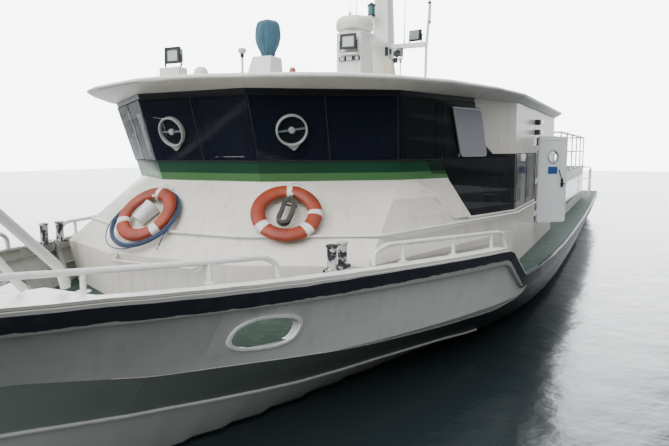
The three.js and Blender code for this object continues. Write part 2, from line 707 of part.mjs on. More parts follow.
// Side doors: leaf outside the wall, hung on its forward edge; local origin on the hinge
const LEAF = { thick: 40, stand: 5, barrel: 14, wide: 600 };
const HINGE = V(DOOR.fore + 34, CABIN_HALF + LEAF.stand + LEAF.thick / 2, 0);
const hingeHeights = [1640, 2190, 2740];
function doorLeaf() {
  const low = DOOR.low - 15;
  const high = DOOR.high + 15;
  const panel = box(-LEAF.wide - 20, -26, -LEAF.thick / 2, LEAF.thick / 2, low, high);
  const port = rod(V(-310, -60, 2480), V(-310, 60, 2480), 105, 16);
  const rim = rod(V(-310, LEAF.thick / 2 - 5, 2480), V(-310, LEAF.thick / 2 + 14, 2480), 125, 16)
    .subtract(rod(V(-310, -60, 2480), V(-310, 90, 2480), 100, 16));
  const knuckles = hingeHeights.map((z) =>
    join(
      rod(V(0, 0, z), V(0, 0, z + 60), LEAF.barrel, 12),
      box(-60, 0, -8, 8, z, z + 60),
    ),
  );
  const lever = join(
    rod(V(-520, 10, 2180), V(-520, LEAF.thick / 2 + 34, 2180), 16, 10),
    box(-532, -508, LEAF.thick / 2 + 18, LEAF.thick / 2 + 32, 2180, 2330),
  );
  return join(panel.subtract(port), rim, knuckles, lever);
}
const brackets = hingeHeights.map((z) =>
  join(
    rod(V(HINGE.x, HINGE.y, z - 60), V(HINGE.x, HINGE.y, z - GAP), LEAF.barrel, 12),
    box(HINGE.x - 8, HINGE.x + 30, CABIN_HALF - 5, HINGE.y, z - 60, z - GAP),
  ),
);
const OPEN_REST = THREE.MathUtils.degToRad(43);
function hangDoor(name, side, open) {
  const hung = new THREE.Group();
  hung.position.set(HINGE.x, side * HINGE.y, 0);
  hung.rotation.z = -side * open;
  group.add(hung);
  const leaf = side > 0 ? doorLeaf() : mirrorY(doorLeaf());
  place(name, leaf, material(0xc6c9cb, 0.4), hung);
}
hangDoor("door_port", 1, OPEN_REST);
hangDoor("door_stbd", -1, 0);
const hingePost = join(
  brackets,
  box(HINGE.x + 20, HINGE.x + 44, CABIN_HALF - 5, CABIN_HALF + 16, 1560, 2760),
);
placeBoth("cabin_side", join(sideWall, hingePost), white);

// Aft door of the forward cabin
const AFT_HINGE = V(CABIN_AFT_X - 26, AFT_DOOR.y1 + 34, 0);
const aftLeafGroup = new THREE.Group();
aftLeafGroup.position.set(AFT_HINGE.x, AFT_HINGE.y, 0);
group.add(aftLeafGroup);
const aftKnuckles = [1400, 2700].map((z) =>
  join(rod(V(0, 0, z), V(0, 0, z + 60), LEAF.barrel, 12), box(-8, 8, -60, 0, z, z + 60)),
);
place(
  "door_aft",
  join(box(-20, 20, -775, -26, AFT_DOOR.low - 15, AFT_DOOR.high + 15), aftKnuckles),
  material(0xc6c9cb, 0.4),
  aftLeafGroup,
);
const aftBrackets = join(
  [1400, 2700].map((z) =>
    join(
      rod(V(AFT_HINGE.x, AFT_HINGE.y, z - 60), V(AFT_HINGE.x, AFT_HINGE.y, z - GAP),
        LEAF.barrel, 12),
      box(AFT_HINGE.x, CABIN_AFT_X + 5, AFT_HINGE.y - 8, AFT_HINGE.y + 30, z - 60, z - GAP),
    ),
  ),
  box(CABIN_AFT_X - 16, CABIN_AFT_X + 5, AFT_HINGE.y + 18, AFT_HINGE.y + 42, 1330, 2710),
);
place("cabin_aft", join(cabinAft, aftBrackets), white());

// Foredeck hatch and engine hatch, each hinged beside its coaming
function hatch(x0, x1, half) {
  const top = DECK + 70;
  return join(
    box(x0 - 60, x1 + 60, -half - 60, half + 60, top + GAP, top + 36),
    box(x0 + 12, x1 - 12, -half + 12, half - 12, top - 30, top + 5),
  );
}
place("foredeck_hatch", hatch(9450, 9950, 250), white());
place("engine_hatch", hatch(-11900, -9700, 900), material(0x3c5547, 0.7));

// Engines, shafts, propellers and rudders
const SHAFT_Y = 1100;
const engine = join(
  box(-11600, -9700, SHAFT_Y - 420, SHAFT_Y + 420, -150 + GAP, 650),
  box(-11800, -11600 + 5, SHAFT_Y - 250, SHAFT_Y + 250, -150 + GAP, 400),
);
placeBoth("engine", engine, () => material(0x5b6670, 0.6, 0.4));

const SHAFT_SLOPE = THREE.MathUtils.degToRad(8);
const PROP = V(-11900, SHAFT_Y, -985);
const HUB_FORE = 70; // forward end of the propeller's hub, from its middle
const BLADE = { root: 50, tip: 342, widest: 228, span: 200, chord: 122, thick: 9, advance: 900,
  sections: 12 };
const alongShaft = (distance) =>
  V(PROP.x + distance * Math.cos(SHAFT_SLOPE), SHAFT_Y, PROP.z + distance * Math.sin(SHAFT_SLOPE));
const shaft = join(
  rod(alongShaft(HUB_FORE + 2 * GAP), alongShaft(3600), 36, 12),
  rod(alongShaft(HUB_FORE + 15), alongShaft(330), 60, 12),
  sidePrism([[PROP.x + 130, -990], [PROP.x + 290, -960], [PROP.x + 330, -300],
    [PROP.x + 110, -300]], SHAFT_Y - 14, SHAFT_Y + 14),
);
place("hull", join(hullBody, shaft, mirrorY(shaft)), material(0xc9cbc8, 0.35));

function propeller() {
  const hub = lathe([[0, -80], [40, -70], [62, 0], [62, HUB_FORE], [0, HUB_FORE]], 16);
  // A blade's sections stand on one helix; its outline is an ellipse that ends at the tip
  const blade = () =>
    loft(
      Array.from({ length: BLADE.sections + 1 }, (_, i) => {
        const r = BLADE.root + ((BLADE.tip - BLADE.root) * i) / BLADE.sections;
        const half = BLADE.chord * Math.sqrt(1 - ((r - BLADE.widest) / BLADE.span) ** 2);
        const thick = BLADE.thick * (1.2 - r / BLADE.span / 2);
        const a = -Math.atan(BLADE.advance / (2 * Math.PI * r));
        const c = Math.cos(a);
        const s = Math.sin(a);
        return [[-half, -thick], [half, -thick], [half, thick], [-half, thick]].map(([u, w]) =>
          V(r, u * c - w * s, u * s + w * c),
        );
      }),
    );
  const blades = [0, 1, 2, 3].map((i) => blade().rotate([0, 0, i * 90]));
  return join(hub, blades);
}
function hangPropeller(name, side) {
  const turned = new THREE.Group();
  turned.position.set(PROP.x, side * SHAFT_Y, PROP.z);
  turned.rotation.y = Math.PI / 2 - SHAFT_SLOPE;
  group.add(turned);
  const made = side < 0 ? propeller() : mirrorY(propeller());
  place(name, made, material(0xb08d4a, 0.35, 0.9), turned);
}
hangPropeller("propeller_port", 1);
hangPropeller("propeller_stbd", -1);

const RUDDER_TOP = -560;
const rudder = join(
  loft(
    [[-1290, 0.8], [RUDDER_TOP - 60, 1]].map(([z, k]) =>
      [[190, 0], [110, 26], [-60, 30], [-380, 5], [-380, -5], [-60, -30], [110, -26]].map(
        ([x, y]) => V(x * k, y * k, z),
      ),
    ),
  ),
  rod(V(0, 0, -1000), V(0, 0, STOCK.top - 2 * GAP), STOCK.radius, STOCK.sides),
);
function hangRudder(name, side) {
  const turned = new THREE.Group();
  turned.position.set(rudderX, side * rudderY, 0);
  group.add(turned);
  place(name, rudder, material(0x33373b, 0.5, 0.4), turned);
}
hangRudder("rudder_port", 1);
hangRudder("rudder_stbd", -1);

// Aft cabin, sun deck, its rail and benches, the steps up to it
const aftWindow = (x) => box(x - 420, x + 420, -3200, 3200, 1330, 1830);
const aftCabin = box(AFT_CABIN.aft, AFT_CABIN.fore, -CABIN_HALF, CABIN_HALF, DECK + GAP,
  AFT_CABIN.top)
  .subtract(box(AFT_CABIN.aft + 100, AFT_CABIN.fore - 100, -2800, 2800, 0, AFT_CABIN.top + 5))
  .subtract(join([-2400, -3600, -4800, -6000, -7200, -8300].map((x) => aftWindow(x))))
  .subtract(box(AFT_CABIN.fore - 200, AFT_CABIN.fore + 50, -950, -250, 1150, 2000));
const aftStrip = box(-8800, -1900, CABIN_HALF + GAP, CABIN_HALF + GAP + GLASS, 1290, 1870);
placeBoth("aft_glass", aftStrip, glassMaterial);
const sunDeck = box(AFT_CABIN.aft - 60, AFT_CABIN.fore + 40, -2960, 2960, AFT_CABIN.top - 5,
  SUN_DECK_TOP);
const railTop = SUN_DECK_TOP + 950;
const postX = [-1500, -3000, -4500, -6000, -7500, -8950];
const loopAt = (z) =>
  pipe([V(-1500, 900, z), V(-1500, 2880, z), V(-8950, 2880, z), V(-8950, -2880, z),
    V(-1500, -2880, z), V(-1500, -300, z)]);
const sunRail = join(
  loopAt(railTop),
  loopAt(SUN_DECK_TOP + 500),
  postX.flatMap((x) => [2880, -2880].map((y) =>
    rod(V(x, y, SUN_DECK_TOP + GAP), V(x, y, railTop), PIPE * 0.9))),
  [900, -300].map((y) =>
    rod(V(-1500, y, SUN_DECK_TOP + GAP), V(-1500, y, railTop), PIPE * 0.9)),
);
place("sun_deck_rail", sunRail, white());
place("sun_deck_benches", seating([-2800, -3900, -5000, -6100, -7200], 400, 2400, SUN_DECK_TOP),
  seatGreen());
const STAIR = { y0: 0, y1: 800, treads: 4 };
const treads = Array.from({ length: STAIR.treads }, (_, i) => {
  const z = DECK + ((i + 1) * (SUN_DECK_TOP - DECK)) / (STAIR.treads + 1);
  const x = -340 - i * 250;
  return box(x - 250, x, STAIR.y0 + 10, STAIR.y1 - 10, z - 30, z);
});
const stringer = (y) =>
  sidePrism([[-300, DECK + GAP], [-560, DECK + GAP], [-1405, 1980], [-1405, 2080],
    [-1240, 2080]], y, y + 30);
place("aft_cabin", join(aftCabin, sunDeck, treads, stringer(STAIR.y0), stringer(STAIR.y1 - 30)),
  white());

// Stern rail round the aft deck
const sternRail = join(
  ...[500, 950].map((h) =>
    pipe([V(-9400, 3080, DECK + h), V(-12850, 2950, DECK + h), V(-12850, -2950, DECK + h),
      V(-9400, -3080, DECK + h)]),
  ),
  [[-9400, 3080], [-11100, 3016], [-12850, 2950], [-12850, 1000]].flatMap(([x, y]) =>
    [y, -y].map((w) => rod(V(x, w, DECK + GAP), V(x, w, DECK + 950), PIPE * 0.9)),
  ),
);
place("stern_rail", sternRail, white());

// Roof gear
const onRoof = (made) => made.subtract(roof.translate([0, 0, GAP]));

const PYLON_TOP = 4700;
const pylon = onRoof(join(
  planPrism([[3900, -230], [3360, -230], [3360, 230], [3900, 230]], 3400, 4660),
  planPrism([[4020, -260], [3300, -260], [3300, 260], [4020, 260]], 3400, 3620),
  planPrism([[4000, -250], [2500, -140], [2500, 140], [4000, 250]], 4640, PYLON_TOP),
));
const MAST = { x: 2320, half: 165, top: 6300 };
const mast = onRoof(join(
  planPrism([[MAST.x - 190, -MAST.half], [MAST.x + 170, -MAST.half],
    [MAST.x + 170, MAST.half], [MAST.x - 190, MAST.half]], 3400, 4700),
  loft([[4690, 1], [MAST.top, 0.72]].map(([z, k]) =>
    [[-190, -MAST.half], [170, -MAST.half], [170, MAST.half], [-190, MAST.half]].map(([x, y]) =>
      V(MAST.x + x * k, y * k, z)))),
  box(MAST.x - 60, MAST.x + 60, -850, 850, 4600, 4680),
  loft([[-60, 0], [60, 0]].map(([x]) =>
    [[160, 4610], [620, 4610], [380, 4660], [240, 4780], [160, 5060]].map(([y, z]) =>
      V(MAST.x + x, y, z)))),
  loft([[-60, 0], [60, 0]].map(([x]) =>
    [[-160, 4610], [-620, 4610], [-380, 4660], [-240, 4780], [-160, 5060]].map(([y, z]) =>
      V(MAST.x + x, y, z)))),
  pipe([V(MAST.x, 850, 3400), V(MAST.x, 870, 4640), V(MAST.x, 900, 5200)], 26),
  pipe([V(MAST.x, -850, 3400), V(MAST.x, -870, 4640), V(MAST.x, -900, 5200)], 26),
  rod(V(MAST.x, 900, 5200), V(MAST.x, 930, 6500), 11, 6, 5),
  rod(V(MAST.x, 500, 4650), V(MAST.x, 520, 6600), 9, 6, 4),
));

const radome = lathe([[0, 0], [250, 0], [318, 40], [325, 110], [300, 180], [220, 235], [100, 262],
  [0, 268]], 24).translate([3640, 0, PYLON_TOP + GAP]);
place("radome", radome, material(0xeceae2, 0.35));

const PEDESTAL_TOP = 3960;
const pedestal = onRoof(loft([[3400, 1.35], [PEDESTAL_TOP, 0.98]].map(([z, k]) =>
  [[-190, -190], [190, -190], [190, 190], [-190, 190]].map(([x, y]) =>
    V(6380 + x * k, y * k, z)))));
place("searchlight_pedestal", pedestal, white());
const cover = lathe([[0, 0], [60, 0], [95, 60], [150, 150], [178, 280], [165, 400], [110, 465],
  [0, 478]], 20).translate([6380, 0, PEDESTAL_TOP + GAP]);
place("searchlight_cover", cover, material(0x2c6266, 0.9));

// A floodlight on its stirrup, facing +X, its foot at the local origin
function floodlight(width) {
  const high = width * 0.86;
  return join(
    box(-40, 30, -width / 2, width / 2, 60, 60 + high),
    box(-80, -38, -width / 2 + 40, width / 2 - 40, 100, 20 + high),
    box(-22, 22, -width / 2 - 24, width / 2 + 24, 0, 14),
    [-1, 1].map((s) =>
      box(-18, 18, s * (width / 2 + 12) - 12, s * (width / 2 + 12) + 12, 0, 90 + high / 2)),
    [-1, 1].map((s) =>
      box(-12, 12, s * (width / 2) - 12, s * (width / 2) + 12, 60 + high / 2, 84 + high / 2)),
  );
}
function mountLight(name, at, width, turn = 0) {
  const stand = new THREE.Group();
  stand.position.copy(at);
  stand.rotation.z = turn;
  group.add(stand);
  place(name, floodlight(width), material(0x2b2d31, 0.5, 0.3), stand);
}
const LIGHT_BOX_TOP = 3880;
const lightBox = box(6300, 6500, -1780, -1430, 3440, LIGHT_BOX_TOP);
place("roof", join(roof, lightBox), white());
mountLight("floodlight_stbd", V(6400, -1605, LIGHT_BOX_TOP + GAP), 260);
const clearOfMast = box(MAST.x - 300, MAST.x + 170 + GAP, -300, 300, 3000, 5000);
place("radar_pylon", join(pylon.subtract(clearOfMast), box(3890, 4060, -150, 150, 4260, 4290)),
  white());
mountLight("floodlight_centre", V(3990, 0, 4290 + GAP), 230);
mountLight("floodlight_port", V(MAST.x, 700, 4680 + GAP), 200);

const horn = join(
  rod(V(MAST.x + 80, 420, 4470), V(MAST.x + 300, 420, 4470), 40, 16, 95),
  box(MAST.x - 40, MAST.x + 120, 390, 450, 4440, 4605),
);

place("mast", join(mast, horn), white());

// Lifebuoys hung on pegs in the cabin's front, leaning on the handrail
const BUOY = { mean: 298, half: 77, thick: 47 };
const PEG = { radius: 10, up: 210.6, root: -125 };
const STAND_OFF = { port: 100.7, stbd: 94.2 };
function buoySolid() {
  const n = 10;
  const profile = Array.from({ length: n + 1 }, (_, i) => {
    const a = (i / n) * 2 * Math.PI;
    return [BUOY.mean + BUOY.half * Math.cos(a), BUOY.thick * Math.sin(a)];
  });
  return lathe(profile, 32);
}
// Where a buoy hangs: X across it, Y up the sloping wall, Z out of it
function spot(facet, u, z, off) {
  const foot = facetPoint(u, z, facet);
  const along = facetPoint(1, z, facet).sub(facetPoint(0, z, facet)).normalize();
  const up = facetPoint(u, z + 50, facet).sub(facetPoint(u, z - 50, facet)).normalize();
  const out = along.clone().cross(up).normalize();
  if (out.x < 0) out.negate();
  return new THREE.Matrix4().makeBasis(up.clone().cross(out).normalize(), up, out)
    .setPosition(foot.addScaledVector(out, off));
}
const portSpot = spot("diagonal", 0.27, 1985, STAND_OFF.port);
const stbdSpot = spot("front", 0.84, 1935, STAND_OFF.stbd);
function hang(name, at, made, finish) {
  const turned = new THREE.Group();
  turned.applyMatrix4(at);
  group.add(turned);
  place(name, made, finish, turned);
}
const orange = () => material(0xc9562a, 0.55);
hang("lifebuoy_port", portSpot, buoySolid(), orange());
hang("lifebuoy_stbd", stbdSpot, buoySolid(), orange());
const pegs = [portSpot, stbdSpot].map((at) =>
  join(
    rod(V(0, PEG.up, PEG.root), V(0, PEG.up, 62), PEG.radius, 8),
    rod(V(0, PEG.up, 60), V(0, PEG.up, 68), PEG.radius + 8, 8),
  ).transform(at.toArray()));
const trunkRail = pipe([V(8420, 520, 1575), V(8560, 440, 1520), V(8560, -650, 1520),
  V(8420, -730, 1575)], 17);
place("cabin_front", join(cabinFront, pegs, trunkRail.subtract(cabinForm(WALL / 2, 0, 5000))),
  white());

// Hank of heaving line on the port peg
const hankShape = new THREE.Shape();
const HANK = { half: 82, low: -105 };
hankShape.absarc(0, PEG.up - PEG.radius - GAP - HANK.half, HANK.half, 0, Math.PI, false);
hankShape.absarc(0, HANK.low, HANK.half, Math.PI, 2 * Math.PI, false);
hang("line_hank", portSpot, solid(new THREE.ExtrudeGeometry(hankShape, { depth: 66,
  bevelEnabled: false, curveSegments: 8 })).translate([0, 0, -18]), material(0x55544f, 0.9));

// Coil of blue line round the starboard buoy, behind it at the top and before it below
const COIL = { mean: 410, half: 26, low: -45, top: -57.4, tilt: 4.88 };
const coilProfile = Array.from({ length: 9 }, (_, i) => {
  const a = (i / 8) * 2 * Math.PI;
  return [COIL.mean + COIL.half * Math.cos(a), COIL.half * Math.sin(a)];
});
hang("line_coil", stbdSpot, lathe(coilProfile, 32).rotate([-COIL.tilt, 0, 0])
  .translate([0, COIL.low, COIL.top + COIL.mean * Math.sin(THREE.MathUtils.degToRad(COIL.tilt))]),
material(0x2c4f8a, 0.8));

// Light and smoke canister clipped to the wall inside the starboard buoy
const canister = lathe([[0, -125], [76, -125], [98, 95], [98, 118], [80, 125], [0, 125]], 20)
  .rotate([-90, 0, 0]).rotate([0, 0, -18]).translate([-25, 10, -STAND_OFF.stbd + 88]);
hang("buoy_canister", stbdSpot,
  canister.subtract(box(-400, 400, -400, 400, -400, -STAND_OFF.stbd + GAP)),
  material(0xd9dad5, 0.4));

export default group;
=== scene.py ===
import bpy
import bmesh
import json
import math
from mathutils import Matrix, Vector
from mathutils.bvhtree import BVHTree


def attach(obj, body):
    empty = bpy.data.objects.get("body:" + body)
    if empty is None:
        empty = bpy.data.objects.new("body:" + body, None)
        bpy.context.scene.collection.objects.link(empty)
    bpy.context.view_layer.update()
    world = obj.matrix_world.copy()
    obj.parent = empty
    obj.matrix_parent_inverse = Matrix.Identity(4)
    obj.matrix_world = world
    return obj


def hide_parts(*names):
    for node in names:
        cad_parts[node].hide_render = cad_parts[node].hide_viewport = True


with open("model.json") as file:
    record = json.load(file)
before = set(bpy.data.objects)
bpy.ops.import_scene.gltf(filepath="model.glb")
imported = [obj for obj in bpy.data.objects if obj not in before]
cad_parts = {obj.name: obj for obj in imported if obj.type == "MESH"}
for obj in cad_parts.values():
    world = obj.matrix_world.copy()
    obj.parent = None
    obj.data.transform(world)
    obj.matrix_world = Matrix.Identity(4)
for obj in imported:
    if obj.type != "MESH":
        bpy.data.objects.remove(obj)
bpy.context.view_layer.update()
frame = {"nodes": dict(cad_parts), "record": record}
nodes = frame["nodes"]
scene = bpy.context.scene
upward = Vector((0, 0, 1))
boards = (("port", 1), ("stbd", -1))  # the boat's two sides, with the sign of their y

# Camera: eye height of someone standing beside the port bow
eye = {"place": (13.2, 4.326, 2.7), "turn": 26.31, "dip": 6.96, "roll": 0.19, "lens": 31.99}
turn, dip, roll = (math.radians(eye[key]) for key in ("turn", "dip", "roll"))
look = Vector((-math.cos(turn) * math.cos(dip), -math.sin(turn) * math.cos(dip), -math.sin(dip)))
level = look.cross(upward).normalized()
upright = level.cross(look)
across = level * math.cos(roll) - upright * math.sin(roll)
above = upright * math.cos(roll) + level * math.sin(roll)
cameraData = bpy.data.cameras.new("camera")
cameraData.lens = eye["lens"]
cameraData.sensor_width = 36
cameraData.sensor_fit = "HORIZONTAL"
cameraData.clip_end = 500
camera = bpy.data.objects.new("camera", cameraData)
camera.matrix_world = Matrix.Translation(eye["place"]) @ Matrix((across, above, -look)).transposed().to_4x4()
scene.collection.objects.link(camera)
scene.camera = camera


def linear(colour):
    parts = [int(colour[i:i + 2], 16) / 255 for i in (1, 3, 5)]
    return tuple(c / 12.92 if c <= 0.04045 else ((c + 0.055) / 1.055) ** 2.4 for c in parts) + (1,)


def addNode(tree, kind, settings=None, inputs=None):
    node = tree.nodes.new(kind)
    for key, value in (settings or {}).items():
        setattr(node, key, value)
    for key, value in (inputs or {}).items():
        if isinstance(value, bpy.types.NodeSocket):
            tree.links.new(value, node.inputs[key])
        else:
            node.inputs[key].default_value = value
    return node


def noise(tree, place, scale, detail, **more):
    return addNode(tree, "ShaderNodeTexNoise", None, {"Vector": place, "Scale": scale, "Detail": detail,
        **more}).outputs["Fac"]


def ramp(tree, value, low=0.0, high=1.0, atLow=0.0, atHigh=1.0, **settings):
    return addNode(tree, "ShaderNodeMapRange", settings, {"Value": value, "From Min": low, "From Max": high,
        "To Min": atLow, "To Max": atHigh}).outputs[0]


def blend(tree, share, first, second, **settings):
    return addNode(tree, "ShaderNodeMix", {"data_type": "RGBA", **settings},
        {0: share, 6: first, 7: second}).outputs[2]


def sums(tree, operation, *values):
    return addNode(tree, "ShaderNodeMath", {"operation": operation}, dict(enumerate(values))).outputs[0]


def splitAxes(tree, value):
    return addNode(tree, "ShaderNodeSeparateXYZ", None, {0: value}).outputs


def relief(tree, shader, height, strength, depth, **under):
    bump = addNode(tree, "ShaderNodeBump", None, {"Height": height, "Strength": strength, "Distance": depth,
        **under}).outputs[0]
    tree.links.new(bump, shader.inputs["Normal"])
    return bump


def startMaterial(name, settings):
    material = bpy.data.materials.new(name)
    material.use_nodes = True
    tree = material.node_tree
    shader = tree.nodes["Principled BSDF"]
    for key, value in settings.items():
        shader.inputs[key].default_value = value
    place = addNode(tree, "ShaderNodeTexCoord").outputs["Object"]
    return material, tree, shader, place


# Paint, plastic or metal with its mottling, run-down dirt, chips and fine grain.
# Scales are per metre: a grain of 400 is 2.5 mm across.
def surface(name, base, tint, rough, metal=0.0, mottle=(1.2, 0.5), dirt=None, chips=None, grain=(400, 0.05),
        wave=None, coat=0.0):
    material, tree, shader, place = startMaterial(name, {"Metallic": metal, "Coat Weight": coat})
    share = ramp(tree, noise(tree, place, mottle[0], 5.0), 0.35, 0.7, 0.0, mottle[1])
    colour = blend(tree, share, linear(base), linear(tint))
    if dirt:  # (colour, share): runs down the surface
        long = addNode(tree, "ShaderNodeMapping", None, {"Vector": place, "Scale": (5.0, 5.0, 0.5)}).outputs[0]
        runs = noise(tree, long, 1.6, 7.0, Roughness=0.62)
        colour = blend(tree, ramp(tree, runs, 0.5, 0.74, 0.0, dirt[1]), colour, linear(dirt[0]))
    if chips:  # (colour, threshold, scale): flaked spots
        spots = noise(tree, place, chips[2], 8.0, Roughness=0.7)
        colour = blend(tree, ramp(tree, spots, chips[1], chips[1] + 0.02), colour, linear(chips[0]))
    tree.links.new(colour, shader.inputs["Base Color"])
    gloss = ramp(tree, noise(tree, place, 9.0, 6.0), 0.0, 1.0, rough - 0.1, rough + 0.12)
    tree.links.new(gloss, shader.inputs["Roughness"])
    fine = relief(tree, shader, noise(tree, place, float(grain[0]), 3.0), grain[1], 0.002)
    if wave:  # (scale, depth): plates drawn in between their frames
        relief(tree, shader, noise(tree, place, wave[0], 1.0), 0.6, wave[1], Normal=fine)
    return material


def boxShape(low, high):
    (x0, y0, z0), (x1, y1, z1) = low, high
    verts = [(x, y, z) for x in (x0, x1) for y in (y0, y1) for z in (z0, z1)]
    return verts, [(0, 1, 3, 2), (4, 6, 7, 5), (0, 4, 5, 1), (2, 3, 7, 6), (0, 2, 6, 4), (1, 5, 7, 3)]


def ringShape(rings, ends=True, closed=False):
    sides = len(rings[0])
    verts = [Vector(p) for ring in rings for p in ring]
    faces = []
    for i in range(len(rings) if closed else len(rings) - 1):
        a, b = i * sides, ((i + 1) % len(rings)) * sides
        faces += [(a + k, a + (k + 1) % sides, b + (k + 1) % sides, b + k) for k in range(sides)]
    if ends and not closed:
        faces += [tuple(reversed(range(sides))), tuple(range(len(verts) - sides, len(verts)))]
    return verts, faces


def bendPath(points, bend=0.08, steps=6):  # rounds each corner of a path
    points = [Vector(p) for p in points]
    path = [points[0]]
    for before, corner, after in zip(points, points[1:], points[2:]):
        cut = min(bend, (corner - before).length * 0.45, (after - corner).length * 0.45)
        a = corner + (before - corner).normalized() * cut
        b = corner + (after - corner).normalized() * cut
        path += [a.lerp(corner, t).lerp(corner.lerp(b, t), t) for t in (k / steps for k in range(steps + 1))]
    return path + [points[-1]]


def sweepShape(path, radius, sides=12, closed=False):
    path = [Vector(p) for p in path]
    count, side, rings = len(path), None, []
    for i, point in enumerate(path):
        if closed:
            ahead = path[(i + 1) % count] - path[i - 1]
        else:
            ahead = path[min(i + 1, count - 1)] - path[max(i - 1, 0)]
        ahead.normalize()
        side = ahead.orthogonal() if side is None else side - ahead * side.dot(ahead)
        side.normalize()
        over = ahead.cross(side)
        size = radius[i] if isinstance(radius, (list, tuple)) else radius
        rings.append([point + side * size * math.cos(a) + over * size * math.sin(a)
            for a in (2 * math.pi * k / sides for k in range(sides))])
    return ringShape(rings, True, closed)


def latheShape(profile, place=Matrix(), segments=32, closed=False):
    rings = [[place @ Vector((r * math.cos(a), r * math.sin(a), z)) for r, z in profile]
        for a in (2 * math.pi * k / segments for k in range(segments))]
    sides = len(profile)
    verts = [p for ring in rings for p in ring]
    faces = []
    for i in range(segments):
        a, b = i * sides, ((i + 1) % segments) * sides
        faces += [(a + k, b + k, b + (k + 1) % sides, a + (k + 1) % sides)
            for k in range(sides if closed else sides - 1)]
    return verts, faces


def studShape(r, rim, head, top, sides, low=-0.001, place=Matrix()):  # a disc whose upper edge is drawn in
    return latheShape([(0, low), (r, low), (r, rim), (head, top), (0, top)], place, sides)


def moved(shape, place):
    return [place @ Vector(v) for v in shape[0]], shape[1]


def mirrored(shape):
    return [Vector((v[0], -v[1], v[2])) for v in shape[0]], shape[1]


def both(*shapes):  # each shape and its mirror image
    return [s for shape in shapes for s in (shape, mirrored(shape))]


def shift(*spot):
    return Matrix.Translation(spot)


def turned(axis, degrees):
    return Matrix.Rotation(math.radians(degrees), 4, axis)


def ringPoint(angle, reach, out):  # on a circle round Z, the angle in degrees
    a = math.radians(angle)
    return Vector((reach * math.cos(a), reach * math.sin(a), out))


def along(start, end):  # a placement whose Z runs from start to end
    start, end = Vector(start), Vector(end)
    return Matrix.Translation(start) @ (end - start).to_track_quat("Z", "Y").to_matrix().to_4x4()


def finishPiece(piece, finish, body, bevel, angle, stands):
    for one in finish if isinstance(finish, list) else [finish]:
        piece.data.materials.append(one)
    piece.data.shade_smooth()
    piece.data.set_sharp_from_angle(angle=math.radians(angle))
    if bevel:
        edge = piece.modifiers.new("edge", "BEVEL")
        edge.width, edge.segments, edge.limit_method = bevel, 2, "ANGLE"
        edge.angle_limit = math.radians(32)
        edge.harden_normals = True
    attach(piece, body)
    if stands:
        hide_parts(*stands)
    return piece


def makePiece(name, shapes, finish, body="boat", bevel=0, angle=34, stands=(), slot=None):
    work = bmesh.new()
    for verts, faces in shapes:
        made = [work.verts.new(v) for v in verts]
        for face in faces:
            work.faces.new([made[k] for k in face])
    bmesh.ops.remove_doubles(work, verts=work.verts, dist=1e-6)
    bmesh.ops.dissolve_degenerate(work, edges=work.edges, dist=1e-6)
    bmesh.ops.recalc_face_normals(work, faces=work.faces)
    mesh = bpy.data.meshes.new(name)
    work.to_mesh(mesh)
    work.free()
    piece = bpy.data.objects.new(name, mesh)
    scene.collection.objects.link(piece)
    return finishPiece(piece, finish, body, bevel, angle, stands)


def dressNode(node, finish, bevel=0, angle=26, flatten=True):
    # A merged copy of the solid, so that its edges can be rounded and its sides smoothed
    work = bmesh.new()
    work.from_mesh(nodes[node].data)
    bmesh.ops.remove_doubles(work, verts=work.verts, dist=1e-5)
    if flatten:
        bmesh.ops.dissolve_limit(work, angle_limit=math.radians(0.4), verts=work.verts, edges=work.edges)
    mesh = bpy.data.meshes.new(node + "_dressed")
    work.to_mesh(mesh)
    work.free()
    mesh.materials.clear()
    piece = bpy.data.objects.new(node + "_dressed", mesh)
    scene.collection.objects.link(piece)
    return finishPiece(piece, finish, bodyOf[node], bevel, angle, (node,))


bodyOf = {node: body for body, names in frame["record"]["behaviour"]["bodies"].items() for node in names}


def paintNode(node, finish):  # the solid's own shape with a finish
    mesh = nodes[node].data
    mesh.materials.clear()
    mesh.materials.append(finish)


def surfaceOf(node):  # a solid's faces, to cast rays at
    mesh = nodes[node].data
    return BVHTree.FromPolygons([v.co for v in mesh.vertices], [p.vertices for p in mesh.polygons])


